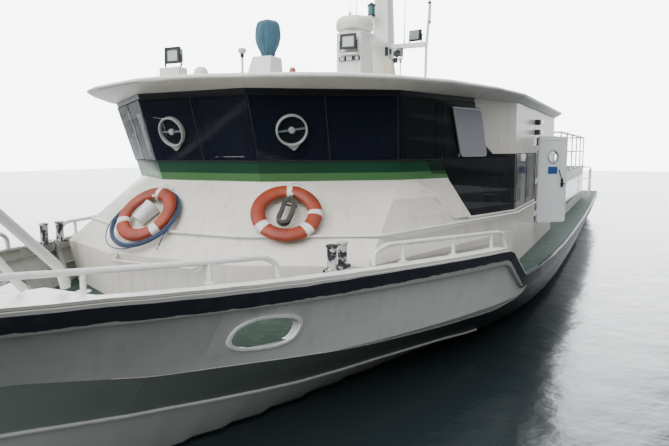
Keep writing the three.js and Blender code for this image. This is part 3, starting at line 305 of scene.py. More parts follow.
# Repeats one small shape at a list of places and directions, by Geometry Nodes
def repeatPiece(name, unit, spots, finish, body="boat"):
    unitMesh = bpy.data.meshes.new(name + "_unit")
    unitMesh.from_pydata([Vector(v) for v in unit[0]], [], unit[1])
    unitMesh.shade_smooth()
    unitMesh.set_sharp_from_angle(angle=math.radians(34))
    unitObject = bpy.data.objects.new(name + "_unit", unitMesh)
    points = bpy.data.meshes.new(name)
    points.from_pydata([Vector(p) for p, _ in spots], [], [])
    facing = points.attributes.new("facing", "FLOAT_VECTOR", "POINT")
    for i, (_, way) in enumerate(spots):
        facing.data[i].vector = Vector(way)
    holder = bpy.data.objects.new(name, points)
    scene.collection.objects.link(holder)
    scene.collection.objects.link(unitObject)
    group = bpy.data.node_groups.new(name + "_layout", "GeometryNodeTree")
    for label, kind, way in (("Geometry", "NodeSocketGeometry", "INPUT"), ("Size", "NodeSocketFloat", "INPUT"),
            ("Geometry", "NodeSocketGeometry", "OUTPUT")):
        group.interface.new_socket(label, in_out=way, socket_type=kind)
    start = addNode(group, "NodeGroupInput")
    facingNode = addNode(group, "GeometryNodeInputNamedAttribute", {"data_type": "FLOAT_VECTOR"}, {"Name": "facing"})
    aim = addNode(group, "FunctionNodeAlignRotationToVector", {"axis": "Z"},
        {"Vector": facingNode.outputs["Attribute"]})
    source = addNode(group, "GeometryNodeObjectInfo", None, {"Object": unitObject})
    spread = addNode(group, "GeometryNodeInstanceOnPoints", None,
        {"Points": start.outputs[0], "Instance": source.outputs["Geometry"], "Rotation": aim.outputs[0],
        "Scale": start.outputs[1]})
    real = addNode(group, "GeometryNodeRealizeInstances", None, {"Geometry": spread.outputs[0]})
    coated = addNode(group, "GeometryNodeSetMaterial", None, {"Geometry": real.outputs[0], "Material": finish})
    addNode(group, "NodeGroupOutput", None, {0: coated.outputs[0]})
    layout = holder.modifiers.new("layout", "NODES")
    layout.node_group = group
    sizeKey = next(s.identifier for s in group.interface.items_tree if s.name == "Size")
    layout[sizeKey] = 1.0
    made = bpy.data.meshes.new_from_object(holder.evaluated_get(bpy.context.evaluated_depsgraph_get()))
    holder.modifiers.remove(layout)
    holder.data = made
    bpy.data.objects.remove(unitObject)
    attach(holder, body)
    return holder


# Cabin plan, as the walls follow it: z, forward corner x y, side corner x y
plan = [(1.05, 8.42, 0.85, 7.88, 2.01), (1.57, 8.44, 0.86, 7.93, 2.09), (2.353, 7.69, 0.7, 6.73, 1.97),
    (3.345, 8.012, 0.731, 7.043, 2.072)]


def planAt(z):
    k = max(1, next((i for i, row in enumerate(plan) if row[0] >= z), len(plan) - 1))
    a, b = plan[k - 1], plan[k]
    t = (z - a[0]) / (b[0] - a[0])
    return [a[i] + (b[i] - a[i]) * t for i in range(1, 5)]


def outlineAt(z, off):  # port half from aft round to the centreline, moved outwards
    cx, cy, dx, dy = planAt(z)
    half = [Vector((0.1, 2.9)), Vector((4.65, 2.9)), Vector((dx, dy)), Vector((cx, cy)), Vector((cx, -cy))]
    normals = []
    for p, q in zip(half, half[1:]):
        d = (q - p).normalized()
        normals.append(Vector((-d.y, d.x)))
    shifted = []
    for i in range(1, 4):
        n, m = normals[i - 1], normals[i]
        shifted.append(half[i] + (n + m) * off / (1 + n.dot(m)))
    return [Vector((0.1, 2.9 + off))] + shifted


def wallLine(z, off):
    return [Vector((p.x, p.y, z)) for p in outlineAt(z, off)]


def roundBow(line):  # on round the front and back along the other side
    return line + [Vector((p.x, -p.y, p.z)) for p in reversed(line)]


def facetPoint(facet, u, z):
    cx, cy, dx, dy = planAt(z)
    ends = {"front": ((cx, cy), (cx, -cy)), "diagonal": ((cx, cy), (dx, dy)),
        "quarter": ((dx, dy), (4.65, 2.9))}[facet]
    (ax, ay), (bx, by) = ends
    return Vector((ax + (bx - ax) * u, ay + (by - ay) * u, z))


def wallSpot(facet, u, z, off):  # X across, Y up the wall, Z out of it
    foot = facetPoint(facet, u, z)
    side = (facetPoint(facet, 1, z) - facetPoint(facet, 0, z)).normalized()
    rise = (facetPoint(facet, u, z + 0.05) - facetPoint(facet, u, z - 0.05)).normalized()
    out = side.cross(rise).normalized()
    if out.x < 0:
        out.negate()
    axes = Matrix((rise.cross(out).normalized(), rise, out)).transposed().to_4x4()
    return Matrix.Translation(foot + out * off) @ axes


# Three-strand laid rope: the strands run diagonally on the tube's own UV map (u metres, v turns)
def laidRope(name, base, shade, lay=0.034):
    material, tree, shader, place = startMaterial(name, {"Sheen Weight": 0.3, "Roughness": 0.85})
    run = addNode(tree, "ShaderNodeUVMap", {"uv_map": "rope"}).outputs[0]
    metres, turns, _ = splitAxes(tree, run)
    around = sums(tree, "MULTIPLY", turns, 6 * math.pi)
    twist = sums(tree, "MULTIPLY_ADD", metres, 2 * math.pi / lay, around)
    height = ramp(tree, sums(tree, "SINE", twist), -1.0)
    # Painted shade: the grooves between the strands take the shade colour, the crowns mottled by noise
    grooveShadeAndMottle = sums(tree, "MULTIPLY", height, noise(tree, place, 30.0, 4.0))
    tree.links.new(blend(tree, grooveShadeAndMottle, linear(shade), linear(base)), shader.inputs["Base Color"])
    relief(tree, shader, height, 0.9, 0.002)
    return material


blueRope = laidRope("blue_polyester_rope", "#3c5f90", "#131f38")
greyRope = laidRope("grey_hemp_line", "#6f6a60", "#26241f", 0.02)
whiteTwine = laidRope("white_whipping_twine", "#d8d6cc", "#8f8c80", 0.004)


# Cords: turns of rope wound side by side in rows and layers, stepping from one turn to the next
# over a short stretch, so that neighbours stay a diameter apart all the way round
def ease(share, low, high):
    t = min(max((share - low) / (high - low), 0), 1)
    return t * t * (3 - 2 * t)


def woundPath(loop, rows, layers, pitch, samples):
    steps = {"liftOut": (0.05, 0.2), "stepIn": (0.27, 0.42), "liftIn": (0.5, 0.65), "stepOut": (0.76, 0.92)}
    path = []
    for layer in range(layers):
        inward = layer % 2 == 0
        order = list(range(len(rows))) if inward else list(reversed(range(len(rows))))
        for turnIndex, row in enumerate(order):
            last = turnIndex == len(order) - 1
            for k in range(samples):
                share = k / samples
                size, level = rows[row], layer * pitch
                if not last:
                    low, high = steps["stepOut" if inward else "stepIn"]
                    size += (rows[order[turnIndex + 1]] - size) * ease(share, low, high)
                elif layer < layers - 1:
                    low, high = steps["liftIn" if inward else "liftOut"]
                    level += pitch * ease(share, low, high)
                path.append(loop(size, share) + Vector((0, 0, level)))
    return path


def ropeTube(name, path, radius, finish, body, node, sides=8):
    verts, faces = sweepShape(path, radius, sides)
    mesh = bpy.data.meshes.new(name)
    mesh.from_pydata(verts, [], faces)
    run = [0.0]
    for a, b in zip(path, path[1:]):
        run.append(run[-1] + (b - a).length)
    layer = mesh.uv_layers.new(name="rope")
    for face in mesh.polygons:
        if len(face.vertices) != 4:
            continue
        ring, side = divmod(face.index, sides)
        for loop, (u, v) in zip(face.loop_indices, ((0, 0), (0, 1), (1, 1), (1, 0))):
            layer.data[loop].uv = (run[ring + u], (side + v) / sides)
    mesh.shade_smooth()
    mesh.set_sharp_from_angle(angle=math.radians(60))
    work = bmesh.new()
    work.from_mesh(mesh)
    bmesh.ops.recalc_face_normals(work, faces=work.faces)
    work.to_mesh(mesh)
    work.free()
    piece = bpy.data.objects.new(name, mesh)
    scene.collection.objects.link(piece)
    mesh.materials.append(finish)
    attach(piece, body)
    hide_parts(node)
    return piece, run[-1]


buoySet = {"mean": 0.298, "half": 0.077, "thick": 0.047, "segments": 128, "band": 15,
    "bands": {"port": (99, 233, 327, 11), "stbd": (90, 212, 325)}}
portBuoy = wallSpot("diagonal", 0.27, 1.985, 0.1007)
stbdBuoy = wallSpot("front", 0.84, 1.935, 0.0942)

hank = {"diameter": 0.008, "inner": 0.038, "rows": 5, "layers": 7, "pitch": 0.0085, "top": 0.1183, "low": -0.105,
    "back": -0.0105, "samples": 28}


def hankLoop(radius, share):  # down the right, round the foot, up the left, round the head
    place = share * 4
    span = hank["top"] - hank["low"]
    if place < 1:
        flat = (radius, hank["top"] - span * place)
    elif place < 2:
        a = math.pi * (place - 1)
        flat = (radius * math.cos(a), hank["low"] - radius * math.sin(a))
    elif place < 3:
        flat = (-radius, hank["low"] + span * (place - 2))
    else:
        a = math.pi * (4 - place)
        flat = (radius * math.cos(a), hank["top"] + radius * math.sin(a))
    sway = 0.004 * math.sin(flat[1] * 23 + 1)
    return Vector((flat[0] + sway, flat[1], hank["back"]))


hankRows = [hank["inner"] + hank["pitch"] * k for k in reversed(range(hank["rows"]))]
hankPath = [portBuoy @ p for p in woundPath(hankLoop, hankRows, hank["layers"], hank["pitch"], hank["samples"])]
hankRope, hankLength = ropeTube("heaving_line", hankPath, hank["diameter"] / 2, greyRope, "boat",
    "line_hank")

# The hank's own lashing, and the becket by which it hangs from the peg
lashing = []
for level in (0.108, 0.117, 0.126):
    corner = [(0.083, level, -0.014), (0.083, level, 0.046), (-0.077, level, 0.046), (-0.077, level, -0.014)]
    ring = bendPath(corner + [corner[0], corner[1]], 0.014)[4:-1]
    lashing.append(sweepShape([portBuoy @ Vector(p) for p in ring], 0.004, 8))
becket = bendPath([(0.012, 0.117, 0.05), (0.016, 0.19, 0.046), (0.014, 0.222, 0.036), (0, 0.2256, 0.03),
    (-0.014, 0.222, 0.036), (-0.016, 0.19, 0.046), (-0.012, 0.117, 0.05)], 0.02)
lashing.append(sweepShape([portBuoy @ Vector(p) for p in becket], 0.004, 8))
hankLashing = makePiece("heaving_line_lashing", lashing, greyRope)

coil = {"diameter": 0.012, "mean": 0.41, "rows": 4, "layers": 2, "pitch": 0.0131, "low": -0.045, "top": -0.0574,
    "tilt": 4.88, "samples": 56, "from": -14}
coilPlace = stbdBuoy @ Matrix.Translation(
    (0, coil["low"], coil["top"] + coil["mean"] * math.sin(math.radians(coil["tilt"])))) @ turned("X", -coil["tilt"])


def coilLoop(radius, share):  # clockwise from the lower right, seen from the bow
    a = math.radians(coil["from"]) - 2 * math.pi * share
    wide = radius + 0.005 * math.sin(2 * a + 0.7) + 0.003 * math.sin(5 * a + 2)
    return Vector((wide * math.cos(a), wide * math.sin(a), -coil["pitch"] / 2))


coilRows = [coil["mean"] + coil["pitch"] * (k - 1.5) for k in reversed(range(coil["rows"]))]
turns = woundPath(coilLoop, coilRows, coil["layers"], coil["pitch"], coil["samples"])
for k in range(coil["samples"]):  # the last turn has slipped outwards at the lower left
    slip = math.sin(math.pi * min(max((k / coil["samples"] - 0.1) / 0.42, 0), 1)) ** 2
    point = turns[k - coil["samples"]]
    point += Vector((point.x, point.y, 0)).normalized() * 0.062 * slip - Vector((0, 0, 0.02 * slip))
tail = [(0.437, -0.135, 0.007), (0.433, -0.175, 0.004), (0.43, -0.215, -0.004), (0.429, -0.25, -0.018),
    (0.428, -0.285, -0.034), (0.427, -0.32, -0.045), (0.424, -0.35, -0.05)]
coilPath = [coilPlace @ p for p in turns[:-1]] + [coilPlace @ Vector(p) for p in tail]
coilRope, coilLength = ropeTube("blue_coiled_line", coilPath, coil["diameter"] / 2, blueRope, "boat",
    "line_coil", 10)
tip = along(coilPath[-3], coilPath[-1])
coilWhipping = makePiece("coil_whipping",
    [latheShape([(0.0066, 0.02), (0.0071, 0.022), (0.0071, 0.045), (0.0066, 0.047)], tip, 12, True)], whiteTwine)

print("cords laid:", round(hankLength, 2), round(coilLength, 2))


# Painted stripes: (low z, high z, colour, aft x at the low and high edge, fore x at the low and high edge)
def stripes(bands):
    def over(tree, place, colour):
        along, _, height = splitAxes(tree, place)

        def beyond(value, limit):
            return sums(tree, "GREATER_THAN", value, limit)

        for low, high, paint, aftLow, aftHigh, foreLow, foreHigh in bands:
            aft = ramp(tree, height, low, high, aftLow, aftHigh)
            fore = ramp(tree, height, low, high, foreLow, foreHigh)
            inside = 1.0
            for test in (beyond(height, low), beyond(high, height), beyond(along, aft), beyond(fore, along)):
                inside = sums(tree, "MULTIPLY", inside, test)
            colour = blend(tree, inside, colour, linear(paint))
        return colour
    return over


def repaint(material, over):  # puts a pattern over a finish's base colour
    tree = material.node_tree
    socket = tree.nodes["Principled BSDF"].inputs["Base Color"]
    place = next(n for n in tree.nodes if n.type == "TEX_COORD").outputs["Object"]
    tree.links.new(over(tree, place, socket.links[0].from_socket), socket)
    return material


# Edges of the hull's colours along its length: (x, z)
hullEdges = {
    "white": [(-13, 1.3), (4.1, 1.3), (4.4, 0.92), (4.8, 0.7), (5.5, 0.62), (6.7, 0.67), (7.85, 0.75), (8.8, 0.85),
              (9.87, 0.966), (10.7, 1.15), (11.86, 1.32), (12.6, 1.43), (13, 1.5)],
    "chine": [(-13, 0.1), (0, 0.12), (3, 0.17), (5.04, 0.26), (6.05, 0.33), (7.22, 0.39), (8.32, 0.44), (9.16, 0.51),
              (9.9, 0.6), (11, 0.8), (11.66, 0.91), (12.25, 1.02), (13, 1.1)],
    "strakeLow": [(-13, 0.86), (5.04, 0.88), (5.16, 0.945), (5.78, 1.325), (5.9, 1.375), (6.27, 1.388), (6.86, 1.398),
                  (7.44, 1.41), (8.0, 1.421), (8.92, 1.447), (9.67, 1.488), (10.44, 1.558), (11.0, 1.6), (13, 1.675)],
    "strakeTop": [(-13, 1.03), (5.04, 1.022), (5.16, 1.077), (5.78, 1.44), (5.9, 1.48), (6.27, 1.494), (6.86, 1.51),
                  (7.44, 1.529), (8.0, 1.547), (8.92, 1.57), (9.67, 1.612), (10.44, 1.68), (11.0, 1.722), (13, 1.792)]}


def heightAlong(tree, x, rows):  # a height that follows a table of (x, z)
    line = addNode(tree, "ShaderNodeFloatCurve", None, {"Value": ramp(tree, x, -13.0, 13.0)})
    curve = line.mapping.curves[0]
    points = [((px + 13) / 26, pz / 2) for px, pz in rows]
    curve.points[0].location, curve.points[1].location = points[0], points[-1]
    for point in points[1:-1]:
        curve.points.new(*point)
    for point in curve.points:
        point.handle_type = "VECTOR"
    line.mapping.update()
    return sums(tree, "MULTIPLY", line.outputs[0], 2.0)


def strakeEdges(tree, place, colour):  # white over its top edge, topside paint brushed over its lower one
    x, _, z = splitAxes(tree, place)
    ragged = noise(tree, place, 7.0, 5.0)
    for edge, sign, waver, paint in (("strakeLow", -1, 0.04, "#a5a6a1"), ("strakeTop", 1, 0.006, "#dddcd5")):
        gap = sums(tree, "SUBTRACT", z, heightAlong(tree, x, hullEdges[edge]))
        past = sums(tree, "ADD", gap, sums(tree, "MULTIPLY_ADD", ragged, waver, -waver / 2))
        fore = sums(tree, "GREATER_THAN", x, 5.1)
        share = sums(tree, "MULTIPLY", ramp(tree, past, 0.0, 0.003 * sign), fore)
        colour = blend(tree, share, colour, linear(paint))
    return colour


def hullColours(tree, place, colour):
    x, _, z = splitAxes(tree, place)

    def under(edge):
        return ramp(tree, sums(tree, "SUBTRACT", heightAlong(tree, x, hullEdges[edge]), z), 0.0, 0.006)

    def towardsBow(x0, x1, aft, fore):
        return blend(tree, ramp(tree, x, x0, x1), linear(aft), linear(fore))

    # Painted shade: the band under the white is its own green-grey paint, darkened to near black aft and lighter
    # towards the bow
    band = blend(tree, noise(tree, place, 1.7, 3.0), towardsBow(6.0, 11.5, "#15191b", "#76827a"),
        towardsBow(6.0, 11.5, "#1f2628", "#8a948c"))
    # Painted shade and painted green reflection: the topsides darker and greener towards the bow
    paintedBowShade = ramp(tree, x, 7.5, 12.0, 0.0, 0.55, interpolation_type="SMOOTHSTEP")
    colour = blend(tree, paintedBowShade, colour, linear("#76806f"), blend_type="MULTIPLY")
    colour = blend(tree, under("white"), colour, band)
    # Below the chine: light paint at the bow, darkened to near black aft as painted shade
    colour = blend(tree, under("chine"), colour, towardsBow(5.5, 9.0, "#1b1d20", "#b4b7b1"))
    return blend(tree, ramp(tree, z, 0.02, 0.035, 1.0, 0.0), colour, linear("#1a1b1f"))


# Alkyd marine enamel brushed on steel plate: white gone cream, drawn in between the frames
# The hull's colours come from hullColours and carry painted shade in the band, under the chine and at the bow
hullEnamelAndShade = repaint(surface("marine_enamel_hull_and_painted_shade", "#d3d4cf", "#c1c2bc", 0.38, dirt=("#a9a79c", 0.35),
    grain=(260, 0.04), wave=(1.5, 0.02), mottle=(0.8, 0.6)), hullColours)
innerEnamel = surface("marine_enamel_inner_bulwark", "#b3b4ae", "#9b9c95", 0.5, dirt=("#7c7a6f", 0.45),
    chips=("#7d5a41", 0.735, 14.0), wave=(1.8, 0.012))
capEnamel = surface("marine_enamel_cap", "#f2f2ee", "#e6e5de", 0.42, dirt=("#a8a396", 0.3),
    chips=("#6e6a66", 0.74, 18.0), grain=(300, 0.06))
strakeEnamel = repaint(surface("black_enamel_on_rubbing_steel", "#22232c", "#2e2f38", 0.42, dirt=("#4a4b50", 0.35),
    chips=("#9fa09c", 0.755, 26.0), grain=(220, 0.12), wave=(6.0, 0.006)), strakeEdges)
cabinLook = {"base": "#dcd8cd", "tint": "#cfc9bc", "rough": 0.34, "dirt": ("#a99f8e", 0.42), "grain": (180, 0.03),
    "wave": (1.1, 0.006), "mottle": (0.9, 0.7)}
cabinEnamel = surface("gelcoat_cabin_white", **cabinLook)
filmBlack = "#0b0c10"
frontStripes = [
    (1.872, 2.108, filmBlack, 4, 4, 5.762, 5.9), (2.108, 2.36, filmBlack, 4, 4, 5.9, 5.985),
    (2.36, 2.575, filmBlack, 4, 4, 5.985, 6.14), (2.36, 2.45, "#456f42", 5.985, 6.03, 9, 9),
    (2.45, 2.575, "#123f2a", 6.03, 6.14, 9, 9), (2.575, 2.65, filmBlack, 4, 4, 9, 9),
    (2.65, 2.89, filmBlack, 5.18, 5.54, 9, 9), (2.89, 3.3, filmBlack, 5.54, 5.66, 9, 9),
    (3.3, 3.46, filmBlack, 5.66, 5.66, 9, 9)]
frontEnamel = repaint(surface("gelcoat_cabin_front", **cabinLook), stripes(frontStripes))
roofGelcoat = surface("gelcoat_roof", "#e6e5e0", "#d3d2cb", 0.36, dirt=("#a4a198", 0.3),
    grain=(220, 0.04), wave=(0.9, 0.008))
pipeEnamel = surface("white_enamel_on_pipe", "#e3e3de", "#d0cfc7", 0.4, dirt=("#9b8f7d", 0.3),
    chips=("#7a4a2e", 0.765, 30.0), grain=(500, 0.05))
# Green non-slip deck paint, its green darkened to stand as painted shade
deckPaintAndShade = surface("green_deck_paint_nonslip_and_painted_shade", "#243d33", "#1a3028", 0.72, dirt=("#6b7266", 0.35), grain=(900, 0.5),
    mottle=(2.0, 0.7), chips=("#556258", 0.7, 40.0))
bilgePaint = surface("grey_bilge_paint", "#8b9092", "#6f7476", 0.55, dirt=("#4b4740", 0.4))
doorEnamel = surface("grey_enamel_door", "#dcdfde", "#cbcecd", 0.4, dirt=("#8f9190", 0.25),
    chips=("#5f6163", 0.77, 22.0), grain=(300, 0.05))
postEnamel = surface("worn_black_enamel_posts", "#1d1e21", "#33353a", 0.5, grain=(240, 0.15),
    chips=("#b9bab6", 0.5, 7.0))
galvanised = surface("hot_dip_galvanised_steel", "#8d9092", "#6f7375", 0.48, metal=0.85,
    chips=("#6b4630", 0.68, 24.0), mottle=(14.0, 0.8))
aluminium = surface("anodised_aluminium", "#c6c9cb", "#aeb2b5", 0.3, metal=0.9, grain=(900, 0.06))
stainless = surface("polished_stainless", "#cfd1d2", "#b4b7b9", 0.16, metal=1.0, grain=(1200, 0.02))
bronze = surface("manganese_bronze", "#a6824a", "#7c6a48", 0.32, metal=0.95, mottle=(8.0, 0.7), grain=(500, 0.08))
engineEnamel = surface("engine_enamel_on_cast_iron", "#5c6973", "#48535b", 0.5, grain=(300, 0.4),
    dirt=("#2d2b28", 0.5))
bottomPaint = surface("antifouling_dark", "#22262a", "#2e3a3a", 0.75, grain=(120, 0.3), chips=("#59645c", 0.72, 20.0))
radomePlastic = surface("asa_radome_cream", "#e4e1d6", "#d2cec0", 0.32, dirt=("#a79f8e", 0.3), grain=(400, 0.03))
lampBlack = surface("powder_coated_lamp_housing", "#2c2e32", "#3a3c40", 0.5, metal=0.2, grain=(1400, 0.2))
rubber = surface("black_rubber_gasket", "#141416", "#1f1f22", 0.65, grain=(600, 0.2))
buoyFoam = surface("orange_polyethylene_buoy", "#9a3b1b", "#773022", 0.5, mottle=(7.0, 0.9), dirt=("#632c22", 0.55),
    grain=(350, 0.12), chips=("#c9927d", 0.7, 14.0))
ringEnamel = surface("aged_grey_enamel_ring", "#a3a5a4", "#8b8d8d", 0.42, grain=(500, 0.08), dirt=("#6b6c6b", 0.3))
reflectiveTape = surface("retroreflective_tape", "#d8d8d3", "#bdbcb5", 0.35, grain=(1600, 0.25))
whitePlastic = surface("white_moulded_polythene", "#d9dad6", "#c2c3bd", 0.38,
    dirt=("#8f8c82", 0.4), grain=(500, 0.06))
plateBlue = surface("blue_enamelled_plate", "#27548c", "#1f4474", 0.4, chips=("#b9c2cc", 0.74, 60.0))
seatVinyl = surface("green_seat_vinyl", "#2c4d3f", "#234034", 0.45, grain=(800, 0.35), mottle=(3.0, 0.6))
benchPlastic = surface("moulded_bench_polypropylene", "#cfd0ca", "#b9bab3", 0.42, grain=(900, 0.2),
    dirt=("#96958c", 0.3))
reflectorPaint = surface("white_reflector", "#d4d7d2", "#bcc0bb", 0.3, grain=(300, 0.05))
lensGlass = surface("lamp_lens_glass", "#b9bcb8", "#a5a9a6", 0.12, grain=(60, 0.2), coat=0.6)
lanternTeal = surface("green_lantern_glass", "#2d6a70", "#1f4f56", 0.15, coat=0.8)


# Toughened glass with black film: dark, mirror smooth, and what is behind it just shows
def filmedGlass(name, tintColour, seeThrough, rough=0.04, bend=1.45):
    material, tree, shader, place = startMaterial(name,
        {"IOR": bend, "Alpha": 1 - seeThrough, "Base Color": linear(tintColour)})
    relief(tree, shader, noise(tree, place, 0.9, 1.0), 0.3, 0.004)
    gloss = ramp(tree, noise(tree, place, 3.0, 6.0), 0.0, 1.0, rough, rough + 0.09)
    tree.links.new(gloss, shader.inputs["Roughness"])
    return material


darkGlass = filmedGlass("filmed_window_glass", "#191c28", 0.25, 0.04, 1.26)
sideGlass = filmedGlass("tinted_side_glass", "#1d2124", 0.6, 0.03, 1.4)
bronzeGlass = filmedGlass("tinted_hung_pane", "#9a989f", 0.04, 0.14)
clearGlass = filmedGlass("clear_view_glass", "#20262a", 0.55)
lampGlass = filmedGlass("lamp_front_glass", "#c9cfcf", 0.82)


# Acrylic canvas: a plain weave drawn at 4 mm, coarser than the real thread, so that it shows
def wovenCanvas(name, base, tint):
    material, tree, shader, place = startMaterial(name, {"Roughness": 0.88, "Sheen Weight": 0.25})
    colour = blend(tree, noise(tree, place, 7.0, 4.0), linear(base), linear(tint))
    tree.links.new(colour, shader.inputs["Base Color"])
    warp, weft = (addNode(tree, "ShaderNodeTexWave", {"bands_direction": way},
        {"Vector": place, "Scale": scale}).outputs["Fac"] for way, scale in (("Z", 80.0), ("DIAGONAL", 50.0)))
    relief(tree, shader, sums(tree, "MULTIPLY", warp, weft), 0.25, 0.001)
    return material


tealCanvas = wovenCanvas("teal_acrylic_canvas", "#40697b", "#284c5e")
print("finishes made")

# Hull, bulwark and strake
hull = dressNode("hull", [hullEnamelAndShade, deckPaintAndShade, bilgePaint], angle=18)
for face in hull.data.polygons:
    x, y, z = face.center
    if face.normal.z > 0.9 and z > 1.0:
        face.material_index = 1
    elif -12.25 < x < -9.35 and abs(y) < 1.78 and z > -0.2:
        face.material_index = 2
    elif -8.95 < x < -1.45 and abs(y) < 2.7 and z > 0.2:
        face.material_index = 1 if face.normal.z > 0.9 else 2

bulwark = dressNode("bulwark", [hullEnamelAndShade, innerEnamel, capEnamel], bevel=0.004, angle=18)
for face in bulwark.data.polygons:
    x, y, z = face.center
    if face.normal.z > 0.85 or (x < 6.2 and abs(face.normal.y) < 0.6):
        face.material_index = 2
    elif face.normal.y * y < 0 or face.normal.z < -0.6:
        face.material_index = 1
for side in ("port", "stbd"):
    dressNode("rubbing_strake_" + side, strakeEnamel, bevel=0.014, angle=30)

# Inside of the bulwark: T-shaped frames with two stringers between them
stiffening = {"first": 6.55, "pitch": 0.78, "count": 7, "web": 0.085, "flange": 0.03, "plate": 0.008,
    "heights": (0.4, 0.74), "deck": 1.054}
bulwarkSurface = surfaceOf("bulwark")


def capAt(x):
    return 1.5 + max(x - 5.9, 0) * 0.0505 + max(x - 9.0, 0) * 0.016


def innerFace(x, z, side):
    hit = bulwarkSurface.ray_cast(Vector((x, 0, z)), Vector((0, side, 0)))[0]
    return hit.y if hit else None


frameShapes, deck = [], stiffening["deck"]
for side in (1, -1):
    for k in range(stiffening["count"]):
        x = stiffening["first"] + k * stiffening["pitch"]
        heights = [deck + (capAt(x) - 0.035 - deck) * t for t in (0, 0.25, 0.5, 0.75, 1)]
        faceAt = [innerFace(x, z, side) for z in heights]
        if None in faceAt:
            continue
        web, plate = stiffening["web"], stiffening["plate"]
        for half, near, far in ((plate / 2, 0.004, web), (stiffening["flange"], web, web + plate)):
            frameShapes.append(
                ringShape([[(x - half, y + side * (0.006 - near), z), (x + half, y + side * (0.006 - near), z),
                (x + half, y - side * far, z), (x - half, y - side * far, z)] for y, z in zip(faceAt, heights)]))
    for share in stiffening["heights"]:
        rings = []
        for k in range(26):
            x = 6.1 + k * 0.2
            z = deck + (capAt(x) - deck) * share
            y = innerFace(x, z, side)
            if y is not None:
                rings.append([(x, y + side * 0.004, z), (x, y - side * 0.05, z), (x, y - side * 0.05, z + 0.008),
                    (x, y + side * 0.004, z + 0.008)])
        frameShapes.append(ringShape(rings))
makePiece("bulwark_stiffening", frameShapes, innerEnamel, slot="white_paint")

# Spray rail along the chine and weld beads on the topsides
sprayRows = [(12.2, 0.062, 1.01), (11.66, 0.215, 0.91), (11.0, 0.45, 0.8), (9.9, 0.81, 0.6), (9.16, 1.12, 0.51),
    (8.32, 1.5, 0.44), (7.22, 1.9, 0.39), (6.05, 2.31, 0.33), (5.04, 2.64, 0.26)]
hullSurface = surfaceOf("hull")
sprayShapes = []
for side in (1, -1):
    path = []
    for (xa, ya, za), (xb, yb, zb) in zip(sprayRows, sprayRows[1:]):
        for t in (0, 0.25, 0.5, 0.75):
            spot = Vector((xa, side * ya, za)).lerp(Vector((xb, side * yb, zb)), t)
            path.append(hullSurface.find_nearest(spot)[0])
    sprayShapes.append(sweepShape(path, 0.019, 8))
makePiece("spray_rail", sprayShapes, innerEnamel, slot="hull_paint")
beadShapes = []
rows = [row for row in hullEdges["white"] if row[0] > 4]
for side in (1, -1):
    path = []
    for k in range(60):
        x = 4.9 + 7.2 * k / 59
        (xa, za), (xb, zb) = next((a, b) for a, b in zip(rows, rows[1:]) if b[0] >= x)
        z = za + (zb - za) * (x - xa) / (xb - xa)
        hit = hullSurface.ray_cast(Vector((x, side * 5, z)), Vector((0, -side, 0)))[0]
        if hit:
            path.append(hit)
    beadShapes.append(sweepShape(path, 0.005, 6))
makePiece("knuckle_weld", beadShapes, innerEnamel, slot="hull_paint")
print("hull and bulwark done")

# Rails
railSet = {"radius": 0.024, "bend": 0.14}


def railShapes(path, posts):
    radius = railSet["radius"]
    shapes = [sweepShape(bendPath(path, railSet["bend"]), radius, 14)]
    for x, y, low, high in posts:
        shapes.append(sweepShape([(x, y, low), (x, y, high)], radius * 0.9, 12))
        shapes.append(studShape(radius * 2.1, 0.006, radius * 1.2, 0.012, 20, 0, shift(x, y, low)))
    return shapes


foreRail = [(11.9, 0.47, 1.83), (11.82, 0.5, 1.97), (10.86, 0.831, 1.92), (10.37, 1.01, 1.882), (9.56, 1.453, 1.846),
    (9.14, 1.672, 1.832), (9.03, 1.725, 1.76), (9.02, 1.729, 1.648)]
sideRail = [(8.0, 2.17, 1.604), (7.99, 2.175, 1.72), (7.84, 2.24, 1.785), (6.85, 2.639, 1.752),
    (5.78, 2.965, 1.7), (5.6, 3.0, 1.375)]
forePosts = [(11.0, 0.78, 1.785, 1.925), (10.38, 1.006, 1.74, 1.883), (9.57, 1.447, 1.68, 1.846)]  # x, y, low, high
sidePosts = [(7.62, 2.334, 1.588, 1.778), (6.85, 2.639, 1.559, 1.752), (6.05, 2.886, 1.523, 1.714)]
for name, path, posts in (("bow_rail", foreRail, forePosts), ("side_rail", sideRail, sidePosts)):
    shapes = railShapes(path, posts)
    for k, side in enumerate(("_port", "_stbd")):
        makePiece(name + side + "_pipe", [both(s)[k] for s in shapes], pipeEnamel,
            stands=(name + side,), slot="white_pipe")

bowHoop = [(10.42, 0.88, 1.768), (10.45, 0.88, 1.9), (11.5, 0.76, 3.02), (11.5, -0.76, 3.02), (10.45, -0.88, 1.9),
    (10.42, -0.88, 1.768)]
innerHoop = [(10.61, 0.7, 1.775), (11.44, 0.64, 2.96), (11.5, 0.64, 3.02)]
makePiece("bow_frame_pipe", [sweepShape(bendPath(bowHoop, 0.16), 0.034, 16),
    *both(sweepShape(bendPath(innerHoop, 0.05), 0.028, 14))], pipeEnamel, stands=("bow_frame",), slot="white_pipe")

dressNode("cabin_front", frontEnamel, bevel=0.005)
for side in ("port", "stbd"):
    dressNode("cabin_side_" + side, cabinEnamel, bevel=0.004)
    paintNode("side_glass_" + side, sideGlass)
    paintNode("aft_glass_" + side, darkGlass)
dressNode("cabin_aft", cabinEnamel, bevel=0.004)
paintNode("window_band", darkGlass)
dressNode("roof", roofGelcoat, bevel=0.018, angle=24)

